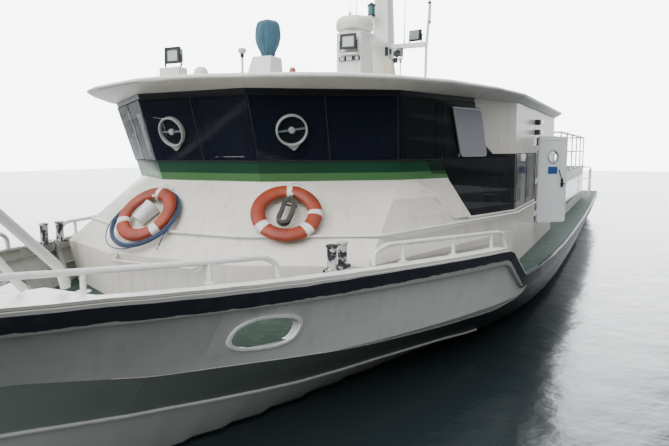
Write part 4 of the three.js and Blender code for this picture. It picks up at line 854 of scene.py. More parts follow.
# Handrail round the cabin, from the plan
rail = {"z": 1.829, "off": 0.048, "radius": 0.015, "end": 2.76}
path, wall = wallLine(rail["z"], rail["off"]), wallLine(rail["z"], 0)
path[0].x = wall[0].x = rail["end"]
shapes = [sweepShape(bendPath(roundBow(path), 0.06, 4), rail["radius"], 12)]
for run, share in ((0, 0.03), (0, 0.5), (0, 0.97), (1, 0.35), (1, 0.7), (1, 0.97), (2, 0.45), (2, 0.9)):
    shapes += both(sweepShape([line[run].lerp(line[run + 1], share) for line in (wall, path)], 0.008, 10))
makePiece("handrail_pipe", shapes, pipeEnamel, stands=("handrail",), slot="white_pipe")
print("rails and walls done")

# Thin work on the glass: sealant at the corners, gaskets, moulding under the side windows
def wallStrip(points, off, wide, thick):  # flat strip up the glass, at corner shares of the plan
    rings = []
    for facet, u, z in points:
        place = wallSpot(facet, u, z, off)
        rings.append([place @ Vector(p) for p in ((-wide / 2, 0, 0), (wide / 2, 0, 0), (wide / 2, 0, thick),
            (-wide / 2, 0, thick))])
    return ringShape(rings)


seals = {"wide": 0.014, "off": 0.0106, "thick": 0.003, "low": 2.582, "high": 3.288}
levels = [seals["low"] + (seals["high"] - seals["low"]) * k / 6 for k in range(7)]
seamShapes = []
for facet, u in (("front", 0.5), ("diagonal", 0.008), ("diagonal", 0.5), ("diagonal", 0.985), ("quarter", 0.31)):
    strip = wallStrip([(facet, u, z) for z in levels], seals["off"], seals["wide"], seals["thick"])
    seamShapes += both(strip) if facet != "front" else [strip]
for z0 in (seals["low"] - 0.002, seals["high"] - 0.01):
    line = wallLine(z0 + 0.006, 0.012)[1:]
    end, start = (6.14 if z0 < 3 else 5.66), line[0].x
    line[0] = line[0].lerp(line[1], (end - start) / (line[1].x - start))
    seamShapes.append(sweepShape(roundBow(line), 0.006, 8))
for side in (1, -1):
    frameLine = [(2.745, 2.912, 1.88), (2.745, 2.912, 2.645), (4.645, 2.912, 2.645)]
    seamShapes.append(sweepShape([(x, side * y, z) for x, y, z in frameLine], 0.006, 8))
    for x in (3.675, 4.6):
        seamShapes.append(boxShape((x - 0.02, min(side * 2.9105, side * 2.914), 1.882),
            (x + 0.02, max(side * 2.9105, side * 2.914), 2.644)))
makePiece("glass_seals", seamShapes, rubber, slot="dark_glass")

# Painted front part of the side glass, so that the dark ends on the slope of the stripes
paintRows = [(1.872, 5.8, 5.762), (2.108, 5.998, 5.9), (2.334, 6.19, 5.966), (2.427, 6.27, 6.019),
    (2.532, 6.36, 6.113), (2.574, 6.394, 6.14)]  # z, fore x, aft x


def quarterSpot(x, z, off):
    _, _, dx, _ = planAt(z)
    return wallSpot("quarter", (x - dx) / (4.65 - dx), z, off) @ Vector((0, 0, 0))


paintPatch = ringShape([[quarterSpot(x, z, off) for x, off in ((fore + 0.3, -0.012), (fore, 0.0125), (aft, 0.0125),
    (aft, 0.0106))] for z, fore, aft in paintRows])
makePiece("painted_glass_edge", both(paintPatch), frontEnamel, slot="white_paint")

mould = {"z": 1.862, "off": 0.009, "radius": 0.009, "aft": 2.72}
line = wallLine(mould["z"], mould["off"])[:3]
line[0].x = mould["aft"]
line[2] = line[1].lerp(line[2], 0.42)
makePiece("window_moulding", both(sweepShape(bendPath(line, 0.05), mould["radius"], 10)), roofGelcoat,
    slot="white_paint")


# A flat frame with rounded corners round a four-cornered opening, and the sheet that fills it
def insetCorners(corners, out, width):
    count, lines = len(corners), []
    for i, p in enumerate(corners):
        d = (corners[(i + 1) % count] - p).normalized()
        lines.append((p - out.cross(d) * -width, d))
    result = []
    for i in range(count):
        (p, d), (q, e) = lines[i - 1], lines[i]
        cross = d.cross(e)
        result.append(p + d * ((q - p).cross(e).dot(cross) / cross.length_squared))
    return result


def roundLoop(corners, bend):
    return bendPath([corners[-1], *corners, corners[0]], bend, 5)[1:-1]


def frameShape(corners, out, near, far, width, bend):
    corners = [Vector(p) for p in corners]
    middle = sum(corners, Vector()) / len(corners)
    inner = insetCorners(corners, out, width)
    if (inner[0] - middle).length > (corners[0] - middle).length:
        inner = insetCorners(corners, out, -width)
    outerLoop, innerLoop = roundLoop(corners, bend), roundLoop(inner, max(bend - width, 0.012))
    rings = [[a + out * near, a + out * far, b + out * far, b + out * near] for a, b in zip(outerLoop, innerLoop)]
    return ringShape(rings, False, True), innerLoop


def plateShape(loop, out, near, far):
    count = len(loop)
    verts = [p + out * near for p in loop] + [p + out * far for p in loop]
    faces = [(k, (k + 1) % count, (k + 1) % count + count, k + count) for k in range(count)]
    return verts, faces + [tuple(reversed(range(count))), tuple(range(count, 2 * count))]


hung = {"corners": ((0.45, 2.62), (0.685, 2.62), (0.615, 3.21), (0.37, 3.21)), "near": 0.034, "far": 0.052,
    "width": 0.012, "bend": 0.065}
hungCorners = [facetPoint("quarter", u, z) for u, z in hung["corners"]]
out = (hungCorners[1] - hungCorners[0]).cross(hungCorners[3] - hungCorners[0]).normalized()
if out.y < 0:
    out.negate()
hungFrame, hungInner = frameShape(hungCorners, out, hung["near"], hung["far"], hung["width"], hung["bend"])
hungPane = plateShape(hungInner, out, hung["near"] + 0.008, hung["near"] + 0.016)
aside = (hungCorners[1] - hungCorners[0]).normalized() * 0.025
hungSeat, _ = frameShape([p + aside for p in hungCorners], out, 0.0125, 0.024, 0.022, 0.06)
hinge = [hungCorners[2].lerp(hungCorners[3], t) + out * 0.024 for t in (0.02, 0.98)]
stays = [sweepShape([hungCorners[k] + out * 0.014, hungCorners[k] + out * 0.034 + Vector((0, 0, 0.06))], 0.006,
    8) for k in (0, 1)]
for k, side in enumerate(("port", "stbd")):
    frameShapes = [both(s)[k] for s in (hungFrame, sweepShape(hinge, 0.012, 12), *stays)]
    makePiece("hung_frame_" + side, frameShapes, aluminium, bevel=0.004, stands=("hung_window_" + side,),
        slot="bare_aluminium")
    makePiece("hung_seat_" + side, [both(hungSeat)[k]], ringEnamel, bevel=0.003)
    makePiece("hung_pane_" + side, [both(hungPane)[k]], bronzeGlass, slot="tinted_pane")

# Clear-view screens: ring, spinning disc, motor hub on its bar, drain foot
barPaint = surface("grey_green_bar_enamel", "#66747a", "#56636a", 0.45)
clearView = {"ring": 0.172, "bore": 0.15, "proud": 0.0535, "glass": 0.0108, "bolts": 0.161}
for side, facet, u in (("port", "diagonal", 0.26), ("stbd", "front", 0.74)):
    place = wallSpot(facet, u, 2.925, clearView["glass"])
    r, b, h = clearView["ring"], clearView["bore"], clearView["proud"]
    shapes = [latheShape([(b, 0), (r, 0), (r, h - 0.012), (r - 0.004, h - 0.003), (r - 0.01, h), (b + 0.008, h),
        (b + 0.002, h - 0.004), (b, h - 0.012)], place, 64, True)]
    shapes.append(latheShape([(0, 0.012), (0.036, 0.012), (0.036, 0.034), (0.03, 0.044), (0.012, 0.047),
        (0, 0.047)], place, 28))
    bar = moved(boxShape((-0.152, -0.011, 0.014), (0.152, 0.011, 0.022)), place)
    makePiece("clear_view_bar_" + side, [bar], barPaint, bevel=0.002)
    wedge = [Vector(p) for p in ((-0.078, -0.158, 0), (0.078, -0.158, 0), (0.012, -0.222, 0), (-0.012, -0.222, 0))]
    shapes.append(moved(plateShape(wedge, upward, 0.0, 0.03), place))
    makePiece("clear_view_ring_" + side, shapes, ringEnamel, bevel=0.002, stands=("clear_view_" + side,),
        slot="bare_aluminium")
    disc = latheShape([(0, 0.004), (0.149, 0.004), (0.149, 0.009), (0, 0.009)], place, 48)
    makePiece("clear_view_disc_" + side, [disc], clearGlass, slot="dark_glass")
    out, reach = place.to_3x3() @ upward, clearView["bolts"]
    bolts = [(place @ ringPoint(36 * k, reach, h), out) for k in range(10)]
    repeatPiece("clear_view_screws_" + side, studShape(0.0045, 0.002, 0.003, 0.0035, 8), bolts, stainless)
print("glass work done")

# Lamp boxes over the side doors
doorLamp = {"x": 2.82, "z": (2.985, 3.15), "half": 0.06, "tall": 0.042, "wall": 2.9, "deep": 0.11}
lampShapes, lampLenses = [], []
for side in (1, -1):
    for z in doorLamp["z"]:
        x, h, tall, wall = (doorLamp[key] for key in ("x", "half", "tall", "wall"))
        front, mouth = wall + doorLamp["deep"] * 0.7, wall + doorLamp["deep"]
        low, high = sorted((side * (wall + 0.0005), side * front))
        lampShapes.append(boxShape((x - h, low, z - tall), (x + h, high, z + tall)))
        low, high = sorted((side * front, side * mouth))
        lampLenses.append(boxShape((x - h + 0.008, low, z - 0.027), (x + h - 0.008, high, z + 0.027)))
makePiece("door_lamp_housings", lampShapes, lampBlack, bevel=0.006, slot="lamp_black")
makePiece("door_lamp_lenses", lampLenses, lensGlass, bevel=0.006)

# Side doors: leaf with its port light, pressed border, gasket, plate and lever
leafSet = {"near": -0.026, "far": -0.62, "low": 1.46, "high": 2.92, "half": 0.02, "open": 43.0,
    "port": (-0.317, 2.584, 0.098), "plate": (-0.317, 2.352, 0.1, 0.062),
    "lever": (-0.52, 2.13, -0.43, 2.36), "around": 72}
near, far, low, high = (leafSet[key] for key in ("near", "far", "low", "high"))


def leafShape():  # a rounded plate with one round hole
    x, z, r = leafSet["port"]
    middle, around = Vector((x, 0, z)), leafSet["around"]
    edge = bendPath([(far, 0, low + 0.3), (far, 0, low), (near, 0, low), (near, 0, high), (far, 0, high),
        (far, 0, low + 0.3)], 0.05, 6)[:-1]
    rings = []
    for p in edge + [edge[-1].lerp(edge[0], 0.5)]:
        a = math.atan2(p.z - z, p.x - x)
        rings.append((a, p, Vector((x + r * math.cos(a), 0, z + r * math.sin(a)))))
    for k in range(around):
        a = -math.pi + 2 * math.pi * (k + 0.5) / around
        d = Vector((math.cos(a), 0, math.sin(a)))
        if min(abs((a - b + math.pi) % (2 * math.pi) - math.pi) for b, _, _ in rings) < 0.02:
            continue
        p = middle + d * min(((near if d.x > 0 else far) - x) / d.x, ((high if d.z > 0 else low) - z) / d.z)
        if min((Vector((cx, 0, cz)) - p).length for cx in (near, far) for cz in (low, high)) > 0.055:
            rings.append((a, p, middle + d * r))
    rings.sort(key=lambda row: row[0])
    h = Vector((0, leafSet["half"], 0))
    return ringShape([[p - h, p + h, q + h, q - h] for _, p, q in rings], False, True)


def panelCorners(x0, x1, z0, z1):
    return [Vector((x, 0, z)) for x, z in ((x0, z0), (x0, z1), (x1, z1), (x1, z0))]


outwards = Vector((0, 1, 0))
for side, sign in boards:
    body = "door_" + side
    place = shift(2.654, sign * 2.925, 0) @ turned("Z", -leafSet["open"] if sign > 0 else 0)

    def leafPiece(name, shapes, finish, **more):
        shapes = [moved(s if sign > 0 else mirrored(s), place) for s in shapes]
        return makePiece(name + "_" + side, shapes, finish, body=body, **more)

    knuckles = []
    for z in (1.64, 2.19, 2.74):
        knuckles.append(latheShape([(0, -0.03), (0.013, -0.03), (0.0145, -0.028), (0.0145, 0.028), (0.013, 0.03),
            (0, 0.03)], shift(0, 0, z), 20))
        knuckles.append(boxShape((-0.06, -0.006, z - 0.028), (-0.006, 0.006, z + 0.028)))
    leafPiece("door_leaf", [leafShape()] + knuckles, doorEnamel, bevel=0.003, stands=(body,), slot="grey_door_paint")
    border, _ = frameShape(panelCorners(near - 0.03, far + 0.03, low + 0.03, high - 0.03), outwards, 0.0195,
        0.0245, 0.03, 0.06)
    leafPiece("door_border", [border], doorEnamel, bevel=0.002)
    gasket, _ = frameShape(panelCorners(near - 0.004, far + 0.004, low + 0.004, high + 0.004), outwards, -0.0235,
        -0.0155, 0.022, 0.03)
    leafPiece("door_gasket", [gasket], rubber, bevel=0.0015)
    x, z, r = leafSet["port"]
    face = shift(x, 0, z) @ turned("X", -90)
    rim = [(x + (r + 0.009) * math.cos(a), 0.031, z + (r + 0.009) * math.sin(a))
        for a in (math.pi * k / 4 for k in range(8))]
    leafPiece("door_light_glass", [latheShape([(0, -0.004), (r, -0.004), (r, 0.004), (0, 0.004)], face, 40)],
        lampGlass)
    ring = latheShape([(r - 0.008, 0.012), (r + 0.02, 0.012), (r + 0.02, 0.027), (r + 0.014, 0.031),
        (r - 0.002, 0.031), (r - 0.008, 0.026)], face, 48, True)
    leafPiece("door_light_ring", [ring], ringEnamel, bevel=0.0015, slot="grey_door_paint")
    x, z, w, h = leafSet["plate"]
    leafPiece("door_plate", [boxShape((x - w, 0.0196, z - h), (x + w, 0.0216, z + h))], plateBlue, bevel=0.0008)
    ax, az, bx, bz = leafSet["lever"]
    lever = bendPath([(ax, 0.018, az), (ax, 0.05, az), (bx, 0.05, bz)], 0.02, 5)
    leafPiece("door_lever", [sweepShape(lever, 0.0085, 12), boxShape((ax - 0.028, 0.0195, az - 0.07),
        (ax + 0.022, 0.026, az + 0.08)), sweepShape([(ax - 0.055, 0.04, az - 0.01), (ax + 0.05, 0.04, az - 0.01)],
        0.009, 12)], lampBlack, bevel=0.0012)
    spots = [(x + a * (w - 0.01), 0.0216, z + b * (h - 0.01)) for a in (1, -1) for b in (1, -1)] + rim
    out = place.to_3x3() @ Vector((0, sign, 0))
    repeatPiece("door_screws_" + side, studShape(0.004, 0.0015, 0.0025, 0.003, 8),
        [(place @ Vector((px, sign * py, pz)), out) for px, py, pz in spots], stainless, body=body)
aft = shift(0.074, -0.216, 0)
dressNode("door_aft", doorEnamel, bevel=0.004)
backwards = Vector((-1, 0, 0))
corners = [Vector((0, y, z)) for y, z in ((-0.2, 2.05), (-0.2, 2.75), (-0.62, 2.75), (-0.62, 2.05))]
rim, inner = frameShape(corners, backwards, 0.0196, 0.0256, 0.03, 0.08)
makePiece("aft_door_window_rim", [moved(rim, aft)], aluminium, body="door_aft", bevel=0.002)
makePiece("aft_door_window", [moved(plateShape(inner, backwards, 0.0196, 0.0216), aft)], darkGlass, body="door_aft")
handle = bendPath([(-0.02, -0.68, 2.0), (-0.06, -0.68, 2.0), (-0.06, -0.68, 2.2), (-0.02, -0.68, 2.2)], 0.02)
makePiece("aft_door_handle", [moved(sweepShape(handle, 0.008, 10), aft)], stainless, body="door_aft")
doorway = {"aft": 2.06, "fore": 2.62, "low": 1.475, "high": 2.905}
corners = [Vector((doorway[x], 0, doorway[z])) for x, z in (("aft", "low"), ("fore", "low"),
    ("fore", "high"), ("aft", "high"))]
for side, sign in boards:
    lip, _ = frameShape(corners, Vector((0, sign, 0)), 2.8985, 2.9022, 0.014, 0.02)
    makePiece("doorway_lining_" + side, [lip], rubber, slot="black_rubber")
print("doors done")


# Fairleads, bollards, anchor
for side in ("port", "stbd"):
    dressNode("fairlead_rim_" + side, capEnamel, bevel=0.004, angle=30)
dressNode("anchor", galvanised, bevel=0.006)
post = {"x": (8.19, 8.41), "y": 1.93, "low": 1.62, "top": 1.849, "r": 0.045, "head": 0.056}
for side, sign in boards:
    y = sign * post["y"]
    shapes = [boxShape((8.12, y - 0.06, 1.597), (8.48, y + 0.06, 1.621))]
    r, h, top = post["r"], post["head"], post["top"]
    for x in post["x"]:
        shapes.append(latheShape([(0, post["low"]), (r + 0.008, post["low"]), (r, post["low"] + 0.01),
            (r, top - 0.04), (r + 0.003, top - 0.03), (h, top - 0.022), (h, top - 0.008), (h - 0.004, top - 0.002),
            (0, top)], shift(x, y, 0), 40))
    makePiece("bollard_pair_" + side, shapes, postEnamel, bevel=0.003, stands=("bollard_" + side,),
        slot="worn_black_steel")
    studs = [(Vector((x, y + k * 0.042, 1.621)), upward) for x in (8.135, 8.3, 8.465) for k in (-1, 1)]
    repeatPiece("bollard_nuts_" + side, studShape(0.011, 0.008, 0.009, 0.011, 6), studs, galvanised)


def roundRect(x0, x1, y0, y1, z, r):
    ring = []
    for cx, cy, start in ((x1 - r, y1 - r, 0), (x0 + r, y1 - r, 90), (x0 + r, y0 + r, 180), (x1 - r, y0 + r, 270)):
        ring += [Vector((cx, cy, z)) + ringPoint(start + 22.5 * k, r, 0) for k in range(5)]
    return ring


# Mast: column, yard, side pipes, aerials
mastSet = {"low": 3.54, "knee": 4.7, "top": 6.3, "x": (2.13, 2.49), "half": 0.165, "cx": 2.3125, "taper": 0.72}
mx, my, mt = mastSet["x"], mastSet["half"], mastSet["taper"]
halfTop = (mx[1] - mx[0]) / 2 * mt
column = ringShape([roundRect(mx[0], mx[1], -my, my, mastSet["low"], 0.03),
    roundRect(mx[0], mx[1], -my, my, mastSet["knee"], 0.03),
    roundRect(mastSet["cx"] - halfTop, mastSet["cx"] + halfTop, -my * mt, my * mt, mastSet["top"], 0.025)])
yard = boxShape((2.26, -0.85, 4.6), (2.38, 0.85, 4.68))
mastShapes = [column, yard]
for side in (1, -1):
    mastShapes.append(sweepShape(
        bendPath([(2.32, side * 0.83, 3.4), (2.32, side * 0.85, 4.62), (2.32, side * 0.9, 5.2)], 0.1), 0.026, 16))
makePiece("mast_column", mastShapes, roofGelcoat, bevel=0.004, angle=30, stands=("mast",), slot="white_paint")
whips = [[(2.32, 0.9, 5.17), (2.324, 0.91, 5.6), (2.32, 0.93, 6.5)], [(2.32, 0.42, 4.68), (2.324, 0.43, 5.5),
    (2.32, 0.46, 6.6)]]
cuffs = [latheShape([(0, 0), (0.034, 0), (0.034, tall), (0, tall)], shift(2.32, 0.9, z), 20)
    for z, tall in ((5.02, 0.02), (5.36, 0.03), (5.43, 0.015))]
makePiece("aerial_cuffs", cuffs, lampBlack, bevel=0.002)
makePiece("mast_whips", [sweepShape([(2.32, 0.9, 5.0), (2.32, 0.905, 5.36)], 0.027, 16),
    sweepShape(whips[0], [0.018, 0.015, 0.008], 12), sweepShape(whips[1], [0.009, 0.007, 0.004], 10),
    studShape(0.017, 0.12, 0.011, 0.14, 14, 0, shift(2.32, 0.9, 5.16)),
    latheShape([(0, 0), (0.022, 0), (0.022, 0.02), (0.012, 0.03), (0.012, 0.1), (0, 0.11)], shift(2.32, 0.42, 4.678),
    14)], whitePlastic)
hornPlace = shift(2.4, 0.36, 4.48) @ turned("Y", 90)
makePiece("horn", [latheShape([(0, -0.09), (0.03, -0.09), (0.036, -0.08), (0.036, 0.0), (0.024, 0.01), (0.026, 0.06),
    (0.045, 0.11), (0.074, 0.145), (0.076, 0.15), (0.07, 0.15), (0.042, 0.11), (0.02, 0.06), (0, 0.05)], hornPlace,
    40), boxShape((2.28, 0.33, 4.45), (2.42, 0.39, 4.602))], galvanised, bevel=0.003)

# Navigation lantern on the pylon's head: teal lens between black caps
lantern = {"place": (2.72, -0.082, 5.155), "r": 0.066, "high": 0.2}
lanternPlace = shift(*lantern["place"])
r, h = lantern["r"], lantern["high"]
makePiece("lantern_caps", [studShape(r + 0.012, 0.018, r - 0.004, 0.024, 32, 0, lanternPlace),
    latheShape([(0, h - 0.02), (r + 0.012, h - 0.02), (r + 0.012, h), (r - 0.01, h + 0.012), (0.03, h + 0.036),
    (0.012, h + 0.044), (0, h + 0.056)], lanternPlace, 32)], lampBlack, bevel=0.002)
makePiece("lantern_lens", [latheShape([(0, 0.023), (r, 0.023)] + [(r + 0.002 * (k % 2), 0.023 + (h - 0.044) * k / 14)
    for k in range(15)] + [(0, h - 0.019)], lanternPlace, 32)], lanternTeal)

makePiece("lantern_bracket", [boxShape((2.44, -0.11, 5.13), (2.8, -0.05, 5.155)),
    sweepShape([(2.46, -0.08, 4.98), (2.7, -0.08, 5.13)], 0.012, 10)], roofGelcoat, bevel=0.002)
aerials = [[(3.3, -0.25, 4.95), (3.3, -0.25, 5.12), (3.31, -0.245, 5.14), (3.32, -0.22, 5.8)],
    [(3.22, -0.16, 4.95), (3.22, -0.16, 5.02), (3.22, -0.158, 5.3), (3.23, -0.14, 5.9)]]
makePiece("thin_aerials", [sweepShape(aerials[0], [0.026, 0.024, 0.006, 0.004], 10),
    sweepShape(aerials[1], [0.01, 0.008, 0.005, 0.004], 10)], whitePlastic)

# Pylon with its arm and shelf, and the junction boxes on it
pylon = [ringShape([roundRect(3.3, 4.02, -0.26, 0.26, 3.4, 0.03), roundRect(3.3, 4.02, -0.26, 0.26, 3.62, 0.03)]),
    ringShape([roundRect(3.36, 3.9, -0.23, 0.23, 3.5, 0.03), roundRect(3.36, 3.9, -0.23, 0.23, 4.66, 0.03)])]
makePiece("pylon_box", pylon, roofGelcoat, bevel=0.006, stands=("radar_pylon",), slot="white_paint")
arm = [Vector((3.64, 0, 0)) + ringPoint(-96 + 8 * k, 0.27, 0) for k in range(25)]
arm += [Vector((2.5, 0.14, 0)), Vector((2.5, -0.14, 0))]
makePiece("pylon_arm", [plateShape(arm, upward, 4.64, 4.7), boxShape((3.86, -0.14, 4.28), (4.06, 0.2, 4.305)),
    boxShape((3.88, -0.16, 3.78), (3.906, 0.16, 4.2))], roofGelcoat, bevel=0.004, slot="white_paint")
boxes = [boxShape((3.9, y - w, 4.2), (3.945, y + w, 4.255)) for y, w in ((-0.1, 0.04), (0.03, 0.055), (0.17, 0.03))]
boxes.append(boxShape((3.9, 0.19, 4.35), (3.935, 0.228, 4.42)))
makePiece("junction_boxes", boxes, whitePlastic, bevel=0.005)
glands = [(Vector((3.922, y, 4.202)), Vector((0, 0, -1))) for y in (-0.12, -0.08, 0.0, 0.06, 0.17)]
straps = [boxShape((3.899, y - 0.006, 4.192), (3.95, y + 0.006, 4.262))
    for y in (-0.148, -0.052, 0.092, 0.134, 0.206)]
makePiece("junction_box_straps", straps, lampBlack, bevel=0.001)
repeatPiece("box_glands", studShape(0.009, 0.012, 0.006, 0.016, 10), glands, lampBlack)

# Radome: drum with its seam, crown and bolt bosses
dome = shift(3.64, 0, 4.7003)
profile = bendPath([(0.26, 0, 0), (0.315, 0, 0.028), (0.3245, 0, 0.108), (0.318, 0, 0.18), (0.27, 0, 0.235),
    (0.14, 0, 0.262), (0, 0, 0.268)], 0.045, 5)
profile = [(max(p.x, 0), p.z) for p in profile]
cut = next(i for i, p in enumerate(profile) if p[1] > 0.1)
seam = [(0.3253, 0.098), (0.3215, 0.0995), (0.3215, 0.1025), (0.3253, 0.104)]
profile = [(0, 0)] + profile[:cut] + seam + profile[cut:]
makePiece("radome_shell", [latheShape(profile, dome, 72)], radomePlastic, stands=("radome",), angle=40,
    slot="radome_cream")
bossSpots = [(dome @ ringPoint(a, 0.321, 0.07), ringPoint(a, 1, 0.1)) for a in (45 * k + 22.5 for k in range(8))]
repeatPiece("radome_bolts", studShape(0.012, 0.003, 0.007, 0.006, 12, -0.004), bossSpots, stainless)

# Searchlight pedestal: a folded sheet box wider at its foot
foot = {"x": 6.38, "half": 0.19, "low": 3.4, "top": 3.925}
rings = [[(foot["x"] + dx, dy, z) for dx, dy in corners]
    for z, corners in ((foot["low"], ((-0.22, -0.34), (0.2, -0.34), (0.17, 0.1), (-0.22, 0.1))),
    (foot["top"], ((-0.17, -0.18), (0.12, -0.18), (0.1, 0.095), (-0.17, 0.095))))]
makePiece("pedestal_box", [ringShape(rings)], roofGelcoat, bevel=0.008, stands=("searchlight_pedestal",),
    slot="white_paint")
flangeBolts = [(Vector((foot["x"] - 0.02 + sx * 0.1, sy * 0.095 - 0.025, foot["top"])), upward)
    for sx in (-1, 1) for sy in (-1, 1)]
repeatPiece("pedestal_bolts", latheShape([(0, -0.001), (0.009, -0.001), (0.009, 0.007), (0, 0.008)], Matrix(), 6),
    flangeBolts, stainless)

# Canvas hood over the searchlight: gathered at its foot by a draw tape, creased where it hangs slack
hood = {"levels": [(0.0, 0.09), (0.02, 0.088), (0.045, 0.092), (0.08, 0.108), (0.13, 0.135), (0.19, 0.158),
    (0.25, 0.172), (0.31, 0.17), (0.36, 0.16), (0.405, 0.148), (0.435, 0.135), (0.455, 0.105), (0.468, 0.06),
    (0.475, 0.018)], "around": 96, "x": 6.37, "z": 3.9257}


def hoodPoint(r, z, a):
    rise = z / 0.479
    gather = 0.0065 * (1 - rise) ** 1.5 * math.sin(15 * a + 1.3 * math.sin(3 * a))
    crease = 0.006 * math.sin(4 * a + 9 * z + 0.6) * math.sin(math.pi * rise) + 0.0042 * math.sin(7 * a - 14 * z)
    fold = abs(math.sin(2.5 * a + 5 * z + 1.2)) ** 0.5 - 0.7
    crease += 0.009 * fold * math.sin(math.pi * min(1, rise * 1.2)) + 0.004 * math.sin(11 * a + 6 * z)
    peak = 0.0
    for spot, tall, bulge in ((1.5, 0.84, 0.02), (4.75, 0.8, 0.022), (3.2, 0.9, 0.014), (0.2, 0.5, 0.01)):
        gap = (a - spot + math.pi) % (2 * math.pi) - math.pi
        peak += bulge * math.exp(-(gap * 2.6) ** 2) * math.exp(-((rise - tall) * 8) ** 2)
    size = (r + gather + crease * min(1, r / 0.1) + peak)
    lean = 0.01 * rise - 0.022
    return Vector((hood["x"] + size * math.cos(a) * 0.97, size * math.sin(a) + lean,
        hood["z"] + z + 0.0035 * math.sin(3 * a + 1) * (rise > 0.6) * (1 - r / 0.18)))


hoodRings = [[hoodPoint(r, z, 2 * math.pi * k / hood["around"]) for k in range(hood["around"])]
    for z, r in hood["levels"]]
hoodVerts, hoodFaces = ringShape(hoodRings, False)
hoodVerts = hoodVerts + [Vector((hood["x"], -0.012, hood["z"] + 0.477))]
last, tip = len(hoodVerts) - 1 - hood["around"], len(hoodVerts) - 1
hoodFaces = hoodFaces + [(last + k, last + (k + 1) % hood["around"], tip) for k in range(hood["around"])]
hoodCloth = makePiece("searchlight_hood", [(hoodVerts, hoodFaces)], tealCanvas, stands=("searchlight_cover",),
    angle=80, slot="teal_fabric")
thick = hoodCloth.modifiers.new("cloth", "SOLIDIFY")
thick.thickness, thick.offset = 0.0012, -1
smooth = hoodCloth.modifiers.new("smooth", "SUBSURF")
smooth.levels = smooth.render_levels = 1
tapePath = [hoodPoint(0.0735, 0.032, 2 * math.pi * k / 96) for k in range(96)]
hoodTape = makePiece("hood_draw_tape", [sweepShape(tapePath, 0.0035, 6, True)], tealCanvas)

# Floodlights: bezel, bright reflector behind glass, ribbed back, stirrup
floods = {"stbd": ((6.4, -1.6, 3.8803), 0.265, 0), "centre": ((4.0, 0.045, 4.31), 0.285, 0),
    "port": ((2.32, 0.64, 4.655), 0.235, 172)}
for name, (spot, w, turn) in floods.items():
    place = shift(*spot) @ turned("Z", turn)
    high, low = 0.06 + 0.86 * w, 0.06
    mid, half = (low + high) / 2, w / 2
    tallHalf = (high - low) / 2

    def square(x, size, tall):
        return [(x, -size, mid - tall), (x, size, mid - tall), (x, size, mid + tall), (x, -size, mid + tall)]

    rings = [square(-0.04, half * 0.86, tallHalf * 0.86), square(-0.005, half, tallHalf),
        square(0.03, half, tallHalf), square(0.03, half - 0.036, tallHalf - 0.036),
        square(0.012, half - 0.038, tallHalf - 0.038)]
    shell = ringShape(rings, False)
    back = (shell[0], shell[1] + [(3, 2, 1, 0)])
    ribAt = [-half + 0.03 + k * (w - 0.06) / 9 for k in range(10)]
    ribs = [boxShape((-0.085, y - 0.005, low + 0.022), (-0.036, y + 0.005, high - 0.022)) for y in ribAt]
    stirrup = bendPath([(0, -half - 0.012, mid), (0, -half - 0.012, 0.008), (0, half + 0.012, 0.008),
        (0, half + 0.012, mid)], 0.03)
    across, strapRings = Vector((0.018, 0, 0)), []
    for i, p in enumerate(stirrup):
        n = (stirrup[min(i + 1, len(stirrup) - 1)] - stirrup[max(i - 1, 0)]).cross(across).normalized() * 0.0025
        strapRings.append([p - across + n, p + across + n, p + across - n, p - across - n])
    strap = ringShape(strapRings)
    knobs = [studShape(0.015, 0.012, 0.01, 0.016, 16, 0, shift(0, side * (half + 0.008), mid) @ turned("X",
        -90 * side)) for side in (1, -1)]
    makePiece("floodlight_" + name + "_fins", [moved(s, place) for s in ribs], aluminium, bevel=0.001)
    makePiece("floodlight_" + name + "_body", [moved(s, place) for s in [back, strap] + knobs], lampBlack,
        bevel=0.0025, stands=("floodlight_" + name,), slot="lamp_black")
    inner = [square(0.012, half - 0.038, tallHalf - 0.038), square(-0.03, 0.032, 0.026)]
    makePiece("floodlight_" + name + "_reflector", [moved(ringShape(inner, True), place)], reflectorPaint)
    lens = ringShape([square(0.014, half - 0.037, tallHalf - 0.037), square(0.018, half - 0.037, tallHalf - 0.037)])
    makePiece("floodlight_" + name + "_lens", [moved(lens, place)], lampGlass)

# Small gear on the roof: two posts with cupped heads, the red lamp and the low puck on the lip,
# the beige hailer and the lamps and boxes on the port side of the mast
def roofTop(x, y):
    hit = roofSurface.ray_cast(Vector((x, y, 5.2)), Vector((0, 0, -1)))[0]
    return hit.z if hit and hit.z < 3.6 else 3.5


roofSurface = surfaceOf("roof")
for name, x, y, top in (("fore", 7.98, 0.69, 3.752), ("side", 2.62, 0.455, 4.392)):
    place = shift(x, y, roofTop(x, y))
    tall = top - roofTop(x, y)
    makePiece("roof_post_" + name,
        [latheShape([(0, -0.004), (0.03, -0.004), (0.03, 0.008), (0.012, 0.014), (0.012, tall - 0.06),
        (0, tall - 0.06)], place, 20), latheShape([(0, tall - 0.066), (0.028, tall - 0.056), (0.044, tall - 0.036),
        (0.042, tall - 0.016), (0.026, tall - 0.002), (0, tall + 0.002)], place, 28)], whitePlastic)
    makePiece("roof_post_collar_" + name,
        [latheShape([(0, tall - 0.1), (0.018, tall - 0.098), (0.022, tall - 0.064), (0, tall - 0.062)], place, 20)],
        lampBlack)
redAcrylic = surface("red_lamp_acrylic", "#a8584f", "#8c4038", 0.2, coat=0.6)
for name, x, y, wide, tall, finish in (("roof_red_lamp", 7.9, 1.24, 0.034, 0.05, redAcrylic),
        ("aerial_puck", 7.75, -0.03, 0.08, 0.115, radomePlastic)):
    place = shift(x, y, roofTop(x, y) - 0.004)
    makePiece(name, [latheShape([(0, 0), (wide, 0), (wide, tall * 0.4), (wide * 0.88, tall * 0.75),
        (wide * 0.5, tall), (0, tall)], place, 32)], finish, bevel=0.002)
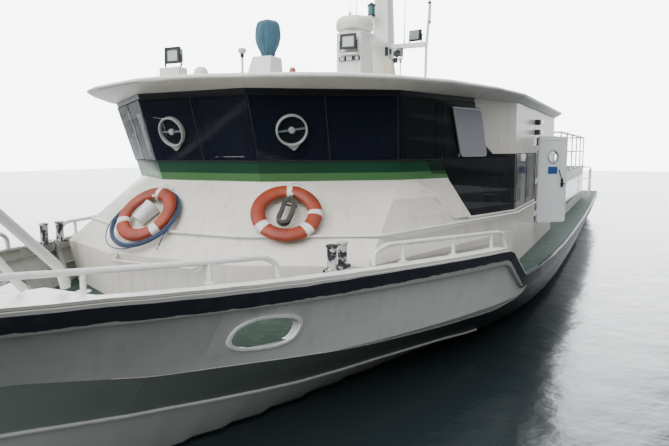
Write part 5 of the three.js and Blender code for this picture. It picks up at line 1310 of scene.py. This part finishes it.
hailer = {"x": 2.66, "y": 0.255, "low": 3.95, "high": 4.37, "r": 0.128}
place = shift(hailer["x"], hailer["y"], hailer["low"])
tall, r = hailer["high"] - hailer["low"], hailer["r"]
makePiece("hailer", [latheShape([(0, 0), (r * 0.96, 0), (r, 0.015), (r * 0.93, tall * 0.35), (r * 0.74, tall * 0.68),
    (r * 0.5, tall * 0.9), (r * 0.3, tall * 0.98), (0, tall)], place, 36)],
    surface("beige_moulded_plastic", "#d9cdb4", "#c8bb9f", 0.4), bevel=0.002)
foot = roofTop(hailer["x"], hailer["y"])
makePiece("hailer_post", [sweepShape([(hailer["x"], hailer["y"], foot - 0.004),
    (hailer["x"], hailer["y"], hailer["low"] + 0.002)], 0.018, 14)], lampBlack)
makePiece("camera_cluster", [boxShape((2.36, 0.163, 4.5), (2.44, 0.185, 4.6)),
    boxShape((2.42, 0.1, 4.46), (2.5, 0.16, 4.62)), boxShape((2.38, 0.255, 4.33), (2.46, 0.32, 4.42)),
    boxShape((2.3, 0.16, 4.37), (2.42, 0.27, 4.4))], lampBlack, bevel=0.003)
print("roof gear done")


# Lifebuoys: moulded rings with their tapes, each on a hook with its plate
def buoyRing(low, high, proud=0.0, whole=False):  # a stretch of the ring, in degrees
    count = max(6, int((high - low) / 360 * buoySet["segments"]))
    rings = []
    for k in range(count + (0 if whole else 1)):
        a = math.radians(low + (high - low) * k / count)
        ring = []
        for j in range(28):
            t = 2 * math.pi * j / 28
            r = buoySet["mean"] + (buoySet["half"] + proud) * abs(math.cos(t)) ** 0.94 * (
                1 if math.cos(t) > 0 else -1)
            ring.append(Vector((r * math.cos(a), r * math.sin(a), (buoySet["thick"] + proud) * math.sin(t))))
        rings.append(ring)
    return ringShape(rings, not whole, whole)


for side, place in (("port", portBuoy), ("stbd", stbdBuoy)):
    makePiece("lifebuoy_ring_" + side, [moved(buoyRing(0, 360, whole=True), place)], buoyFoam, angle=60,
        stands=("lifebuoy_" + side,), slot="buoy_orange")
    tapes = []
    for angle in buoySet["bands"][side]:
        half = buoySet["band"] / 2 * (0.7 if 85 < angle < 100 else 0.75 if angle == 11 else 1.0)
        tapes.append(moved(buoyRing(angle - half, angle + half, 0.0012), place))
    makePiece("lifebuoy_tapes_" + side, tapes, reflectiveTape, angle=60)
    hook = place @ shift(0, 0.385, -0.02)
    hookShapes = [moved(boxShape((-0.05, -0.012, -0.03), (0.055, 0.022, -0.018)), hook)]
    hookShapes.append(moved(sweepShape(bendPath([(-0.035, 0.005, -0.022), (-0.035, 0.008, 0.02), (0.03, 0.012, 0.028),
        (0.035, 0.012, -0.022)], 0.012), 0.0055, 10), hook))
    hookShapes.append(moved(boxShape((-0.05, 0.018, 0.004), (0.05, 0.056, 0.01)), hook))
    makePiece("buoy_hook_" + side, hookShapes, pipeEnamel, bevel=0.0015)
    tag = [moved(boxShape((-0.046, y, 0.0095), (0.046, y + 0.006, 0.0112)), hook) for y in (0.021, 0.046)]
    makePiece("buoy_tag_edges_" + side, tag, lanternTeal)
canister = stbdBuoy @ shift(-0.025, 0.01, -0.0062) @ turned("Z", -18) @ turned("X", -90)
makePiece("smoke_canister", [latheShape([(0, -0.125), (0.07, -0.125), (0.076, -0.119), (0.0975, 0.094),
    (0.101, 0.096), (0.101, 0.102), (0.098, 0.104), (0.098, 0.114), (0.094, 0.118), (0.08, 0.125), (0, 0.125)],
    canister, 56)], whitePlastic, bevel=0.001, stands=("buoy_canister",), slot="white_plastic")
print("buoys done")


# Seats: each row rebuilt as pads on their pan and frame
seatSet = {"pads": 4, "gap": 0.008, "cells": (6, 8), "pull": 0.01, "dip": 0.012, "leg": 0.018, "inset": 0.15}


def padShape(x0, x1, y0, y1, z0, z1, crown):
    # A closed pad whose top swells towards the middle and whose sides pull in between corners
    (nx, ny), pull = seatSet["cells"], seatSet["pull"]
    grid, faces = [], []
    for level, sign in ((z1, 1), (z0, -1)):
        for i in range(nx + 1):
            for j in range(ny + 1):
                u, v = 2 * i / nx - 1, 2 * j / ny - 1
                x = (x0 + x1) / 2 + (x1 - x0) / 2 * u - pull * u * abs(u) ** 3 * (1 - v * v)
                y = (y0 + y1) / 2 + (y1 - y0) / 2 * v - pull * v * abs(v) ** 3 * (1 - u * u)
                swell = (1 - u ** 4) * (1 - v ** 4)
                edge = seatSet["dip"] * (max(abs(u), abs(v)) > 0.999)
                grid.append((x, y, level + sign * ((crown if sign > 0 else 0.0) * swell - edge)))

    def at(i, j, k):
        return k * (nx + 1) * (ny + 1) + i * (ny + 1) + j

    for i in range(nx):
        for j in range(ny):
            faces.append((at(i, j, 0), at(i + 1, j, 0), at(i + 1, j + 1, 0), at(i, j + 1, 0)))
            faces.append((at(i, j, 1), at(i, j + 1, 1), at(i + 1, j + 1, 1), at(i + 1, j, 1)))
    rim = [*((i, 0) for i in range(nx)), *((nx, j) for j in range(ny)), *((i, ny) for i in range(nx, 0, -1)),
        *((0, j) for j in range(ny, 0, -1))]
    for (i, j), (m, n) in zip(rim, rim[1:] + rim[:1]):
        faces.append((at(i, j, 0), at(i, j, 1), at(m, n, 1), at(m, n, 0)))
    return grid, faces


def seatRows(name, xs, y0, y1, floorAt, sides):
    pads, frames = [], []
    wide, ends = (y1 - y0) / seatSet["pads"], (y0 + seatSet["inset"], y1 - seatSet["inset"])
    for x in xs:
        lean = shift(x - 0.178, 0, floorAt + 0.44) @ turned("Y", -7)
        for side in sides:
            for k in range(seatSet["pads"]):
                a = y0 + k * wide + seatSet["gap"] / 2
                lo, hi = sorted((side * a, side * (a + wide - seatSet["gap"])))
                pads.append(padShape(x - 0.2, x + 0.232, lo, hi, floorAt + 0.372, floorAt + 0.436, 0.016))
                flat = padShape(0.0, 0.5, lo, hi, 0.0, 0.052, 0.014)
                pads.append(moved(([Vector((z, y, rise)) for rise, y, z in flat[0]], flat[1]), lean))
            lo, hi = sorted((side * y0, side * y1))
            frames.append(boxShape((x - 0.21, lo, floorAt + 0.352), (x + 0.236, hi, floorAt + 0.372)))
            frames.append(moved(boxShape((-0.014, lo, -0.03), (-0.002, hi, 0.53)), lean))
            for y in (side * end for end in ends):
                for top, foot in ((x - 0.2, x - 0.04), (x + 0.21, x + 0.04)):
                    leg = [(top, y, floorAt + 0.36), (foot, y, floorAt + 0.2), (foot, y, floorAt + 0.03)]
                    frames.append(sweepShape(bendPath(leg, 0.08), seatSet["leg"], 12))
    for y in (side * end for side in sides for end in ends):
        frames.append(boxShape((min(xs) - 0.2, y - 0.035, floorAt + 0.001),
            (max(xs) + 0.2, y + 0.035, floorAt + 0.03)))
    cushion = makePiece(name + "_pads", pads, seatVinyl, angle=50)
    smooth = cushion.modifiers.new("smooth", "SUBSURF")
    smooth.levels = smooth.render_levels = 1
    return cushion, makePiece(name + "_frames", frames, aluminium, bevel=0.0015)


foreRows = {"xs": (0.7, 1.5, 3.0, 3.8), "y": (0.5, 2.5), "floor": 1.05}
aftRows = {"xs": (-2.6, -3.5, -4.4, -5.3, -6.2, -7.1, -8.0), "y": (0.45, 2.45), "floor": 0.25}
sunRows = {"xs": (-2.8, -3.9, -5.0, -6.1, -7.2), "y": (0.4, 2.4), "floor": 2.15}
for name, node, rows in (("fore_seat", "seats_fore", foreRows), ("aft_seat", "seats_aft", aftRows)):
    cushion, made = seatRows(name, rows["xs"], *rows["y"], rows["floor"], (1, -1))
    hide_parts(node)

# Open-air benches: slatted moulded plastic on the same frames
slats, legs, f = [], [], sunRows["floor"]
ends = (sunRows["y"][0] + seatSet["inset"], sunRows["y"][1] - seatSet["inset"])
for x in sunRows["xs"]:
    lean = shift(x - 0.19, 0, f + 0.45) @ turned("Y", -8)
    for side in (1, -1):
        lo, hi = sorted(side * y for y in sunRows["y"])
        slats += [boxShape((x - 0.21 + k * 0.09, lo, f + 0.42), (x - 0.13 + k * 0.09, hi, f + 0.448))
            for k in range(5)]
        slats += [moved(boxShape((-0.014, lo, 0.06 + k * 0.115), (0.012, hi, 0.155 + k * 0.115)),
            lean) for k in range(4)]
        for y in (side * end for end in ends):
            legs.append(boxShape((x - 0.2, y - 0.02, f + 0.39), (x + 0.23, y + 0.02, f + 0.42)))
            legs.append(boxShape((x - 0.04, y - 0.02, f + 0.03), (x + 0.04, y + 0.02, f + 0.4)))
            legs.append(moved(boxShape((-0.034, y - 0.02, -0.05), (-0.014, y + 0.02, 0.5)), lean))
for y in (side * end for side in (1, -1) for end in ends):
    legs.append(boxShape((min(sunRows["xs"]) - 0.2, y - 0.035, f + 0.001),
        (max(sunRows["xs"]) + 0.2, y + 0.035, f + 0.03)))
makePiece("sun_deck_slats", slats, benchPlastic, bevel=0.006, stands=("sun_deck_benches",), slot="bench_plastic")
makePiece("sun_deck_bench_legs", legs, galvanised, bevel=0.002, slot="galvanised_steel")

# Wheelhouse: wheel, screens and levers
helm = shift(6.16, -0.45, 2.36) @ turned("Y", -68)
spokes = [sweepShape([ringPoint(a, 0.03, 0), ringPoint(a, 0.2, 0)], 0.008, 10) for a in (90, 210, 330)]
wheelShapes = [sweepShape([ringPoint(a, 0.205, 0) for a in range(0, 360, 8)], 0.014, 12, True),
    latheShape([(0, -0.08), (0.03, -0.08), (0.045, -0.01), (0.045, 0.012), (0, 0.016)], Matrix(), 24)] + spokes
makePiece("helm_wheel", [moved(s, helm) for s in wheelShapes], lampBlack)
screens, faces = [], []
for y in (-0.95, -0.1, 0.45, 0.95):
    place = shift(6.62, y, 2.43) @ turned("Y", -12)
    screens.append(moved(boxShape((-0.03, -0.17, -0.01), (0.03, 0.17, 0.25)), place))
    faces.append(moved(boxShape((-0.034, -0.15, 0.02), (-0.03, 0.15, 0.23)), place))
makePiece("helm_screens", screens, lampBlack, bevel=0.006)
makePiece("helm_screen_glass", faces, darkGlass)
levers = []
for y in (-0.18, -0.1):
    levers.append(sweepShape(bendPath([(6.4, y, 2.29), (6.36, y, 2.44), (6.34, y, 2.46)], 0.03), 0.008, 10))
    levers.append(latheShape([(0, -0.02), (0.018, -0.01), (0.018, 0.03), (0, 0.04)], shift(6.34, y, 2.46), 16))
makePiece("throttle_levers", levers, stainless)
print("insides done")


# Hatches, engines, propellers and rudders
hatchSet = {"foredeck": (9.45, 9.95, 0.25), "engine": (-11.9, -9.7, 0.9)}
hatchTop = 1.156
for name, (x0, x1, half) in hatchSet.items():
    body = bodyOf[name + "_hatch"]
    dressNode(name + "_hatch", galvanised if name == "engine" else pipeEnamel, bevel=0.006)
    handles = []
    for y in (-half * 0.6, half * 0.6):
        x = x1 - 0.1 if name == "foredeck" else x0 + 0.15
        handles.append(sweepShape(
            bendPath([(x, y - 0.06, hatchTop - 0.001), (x, y - 0.06, hatchTop + 0.035),
            (x, y + 0.06, hatchTop + 0.035), (x, y + 0.06, hatchTop - 0.001)], 0.015), 0.006, 10))
    makePiece(name + "_hatch_handles", handles, stainless, body=body)
    dogs = [(Vector((x, y, hatchTop)), upward) for x in (x0, (x0 + x1) / 2, x1) for y in (-half, half)]
    repeatPiece(name + "_hatch_dogs",
        latheShape([(0, -0.001), (0.022, -0.001), (0.022, 0.006), (0.013, 0.008), (0.013, 0.018), (0, 0.018)],
        Matrix(), 12), dogs, galvanised, body=body)
engineY = 1.1
for side, sign in boards:
    y = sign * engineY
    dressNode("engine_" + side, engineEnamel, bevel=0.012)
    cover = [boxShape((-11.4, y + k * 0.2 - 0.13, 0.649), (-10.0, y + k * 0.2 + 0.13, 0.70)) for k in (-1, 1)]
    for k in range(6):
        x = -11.25 + k * 0.24
        cover += [studShape(0.05, 0.03, 0.035, 0.045, 18, 0, shift(x, y + off, 0.699)) for off in (-0.2, 0.2)]
    makePiece("engine_covers_" + side, cover, engineEnamel, bevel=0.008)
    pipe = bendPath([(-9.9, y, 0.66), (-9.9, y, 0.86), (-10.5, y, 0.9), (-11.5, y, 0.9),
        (-11.7, y + sign * 0.1, 0.6)], 0.12)
    makePiece("engine_exhaust_" + side, [sweepShape(pipe, 0.06, 18)], galvanised)
    dressNode("propeller_" + side, bronze, bevel=0.0015, angle=40, flatten=False)
    dressNode("rudder_" + side, bottomPaint, bevel=0.006)

# Aft cabin, its stair, the open deck over it
aftCabin = dressNode("aft_cabin", [cabinEnamel, deckPaintAndShade], bevel=0.005)
for face in aftCabin.data.polygons:
    x, y, z = face.center
    if face.normal.z > 0.9 and (z > 2.14 or x > -1.4):
        face.material_index = 1
openRail = {"high": 3.1, "mid": 2.65, "radius": 0.024, "bend": 0.12}
loop = [(-1.5, 0.9), (-1.5, 2.88), (-8.95, 2.88), (-8.95, -2.88), (-1.5, -2.88), (-1.5, -0.3)]
shapes = [sweepShape(bendPath([(x, y, z) for x, y in loop], openRail["bend"]), openRail["radius"] if z > 3 else 0.018,
    14) for z in (openRail["high"], openRail["mid"])]
spots = [(x, s * 2.88) for x in (-1.5, -3.0, -4.5, -6.0, -7.5, -8.95) for s in (1, -1)] + [(-1.5, 0.9), (-1.5, -0.3)]
spots += [(-8.95, y) for y in (-1.44, 0.0, 1.44)]
for x, y in spots:
    shapes.append(sweepShape([(x, y, 2.15), (x, y, openRail["high"] - 0.01)], 0.02, 12))
    shapes.append(studShape(0.05, 2.158, 0.026, 2.166, 20, 2.15, shift(x, y, 0)))
makePiece("sun_deck_rail_pipe", shapes, pipeEnamel, stands=("sun_deck_rail",), slot="white_pipe")
sternDeck = 1.05
loop = [(-9.4, 3.08), (-12.85, 2.95), (-12.85, 1.0)]
shapes = []
for side in (1, -1):
    for z in (0.95, 0.5):
        path = bendPath([(x, side * y, sternDeck + z) for x, y in loop], 0.14)
        shapes.append(sweepShape(path, 0.024 if z > 0.6 else 0.018, 14))
    for x, y in ((-9.4, 3.08), (-11.1, 3.016), (-12.85, 2.95), (-12.85, 1.0)):
        shapes.append(sweepShape([(x, side * y, sternDeck), (x, side * y, sternDeck + 0.94)], 0.02, 12))
makePiece("stern_rail_pipe", shapes, pipeEnamel, stands=("stern_rail",), slot="white_pipe")
print("stern done")


# Light: overcast sky, white towards the stern and overhead, duller on the quay side, over dark calm water
world = bpy.data.worlds.new("overcast")
scene.world = world
world.use_nodes = True
tree = world.node_tree
backdrop = tree.nodes["Background"]
way = addNode(tree, "ShaderNodeTexCoord").outputs["Generated"]


def facingShare(aim, low, high, top):
    dot = addNode(tree, "ShaderNodeVectorMath", {"operation": "DOT_PRODUCT"}, {0: way, 1: aim}).outputs["Value"]
    return ramp(tree, dot, low, high, 0.0, top, interpolation_type="SMOOTHSTEP")


bright = sums(tree, "ADD", facingShare((-0.904, -0.4215, 0.07), 0.79, 0.856, 8.0),
    facingShare((0.45, -0.1, 0.9), 0.0, 0.9, 1.5))
dull = sums(tree, "SUBTRACT", 1.0, facingShare((0.33, 0.87, -0.37), 0.2, 0.85, 0.62))
strength = sums(tree, "MULTIPLY", sums(tree, "ADD", bright, 0.75), dull)
tree.links.new(strength, backdrop.inputs["Strength"])
backdrop.inputs["Color"].default_value = linear("#eef1f5")
skyGlow = {"power": 2.5, "spread": 50, "aim": (-0.74, 0.1, -0.66)}
lamp = bpy.data.lights.new("sky_glow", "SUN")
lamp.energy, lamp.angle = skyGlow["power"], math.radians(skyGlow["spread"])
glow = bpy.data.objects.new("sky_glow", lamp)
glow.matrix_world = Vector(skyGlow["aim"]).to_track_quat("-Z", "Y").to_matrix().to_4x4()
scene.collection.objects.link(glow)

floorMesh = bpy.data.meshes.new("floor")
floorMesh.from_pydata([(-70, -70, 0), (70, -70, 0), (70, 70, 0), (-70, 70, 0)], [], [(0, 1, 2, 3)])
floorPlane = bpy.data.objects.new("floor", floorMesh)
scene.collection.objects.link(floorPlane)
calm, tree, shader, place = startMaterial("calm_floor", {"Base Color": linear("#20282a"), "Roughness": 0.2,
    "Specular IOR Level": 0.35})
relief(tree, shader, noise(tree, place, 1.4, 4.0), 0.5, 0.05)
floorMesh.materials.append(calm)
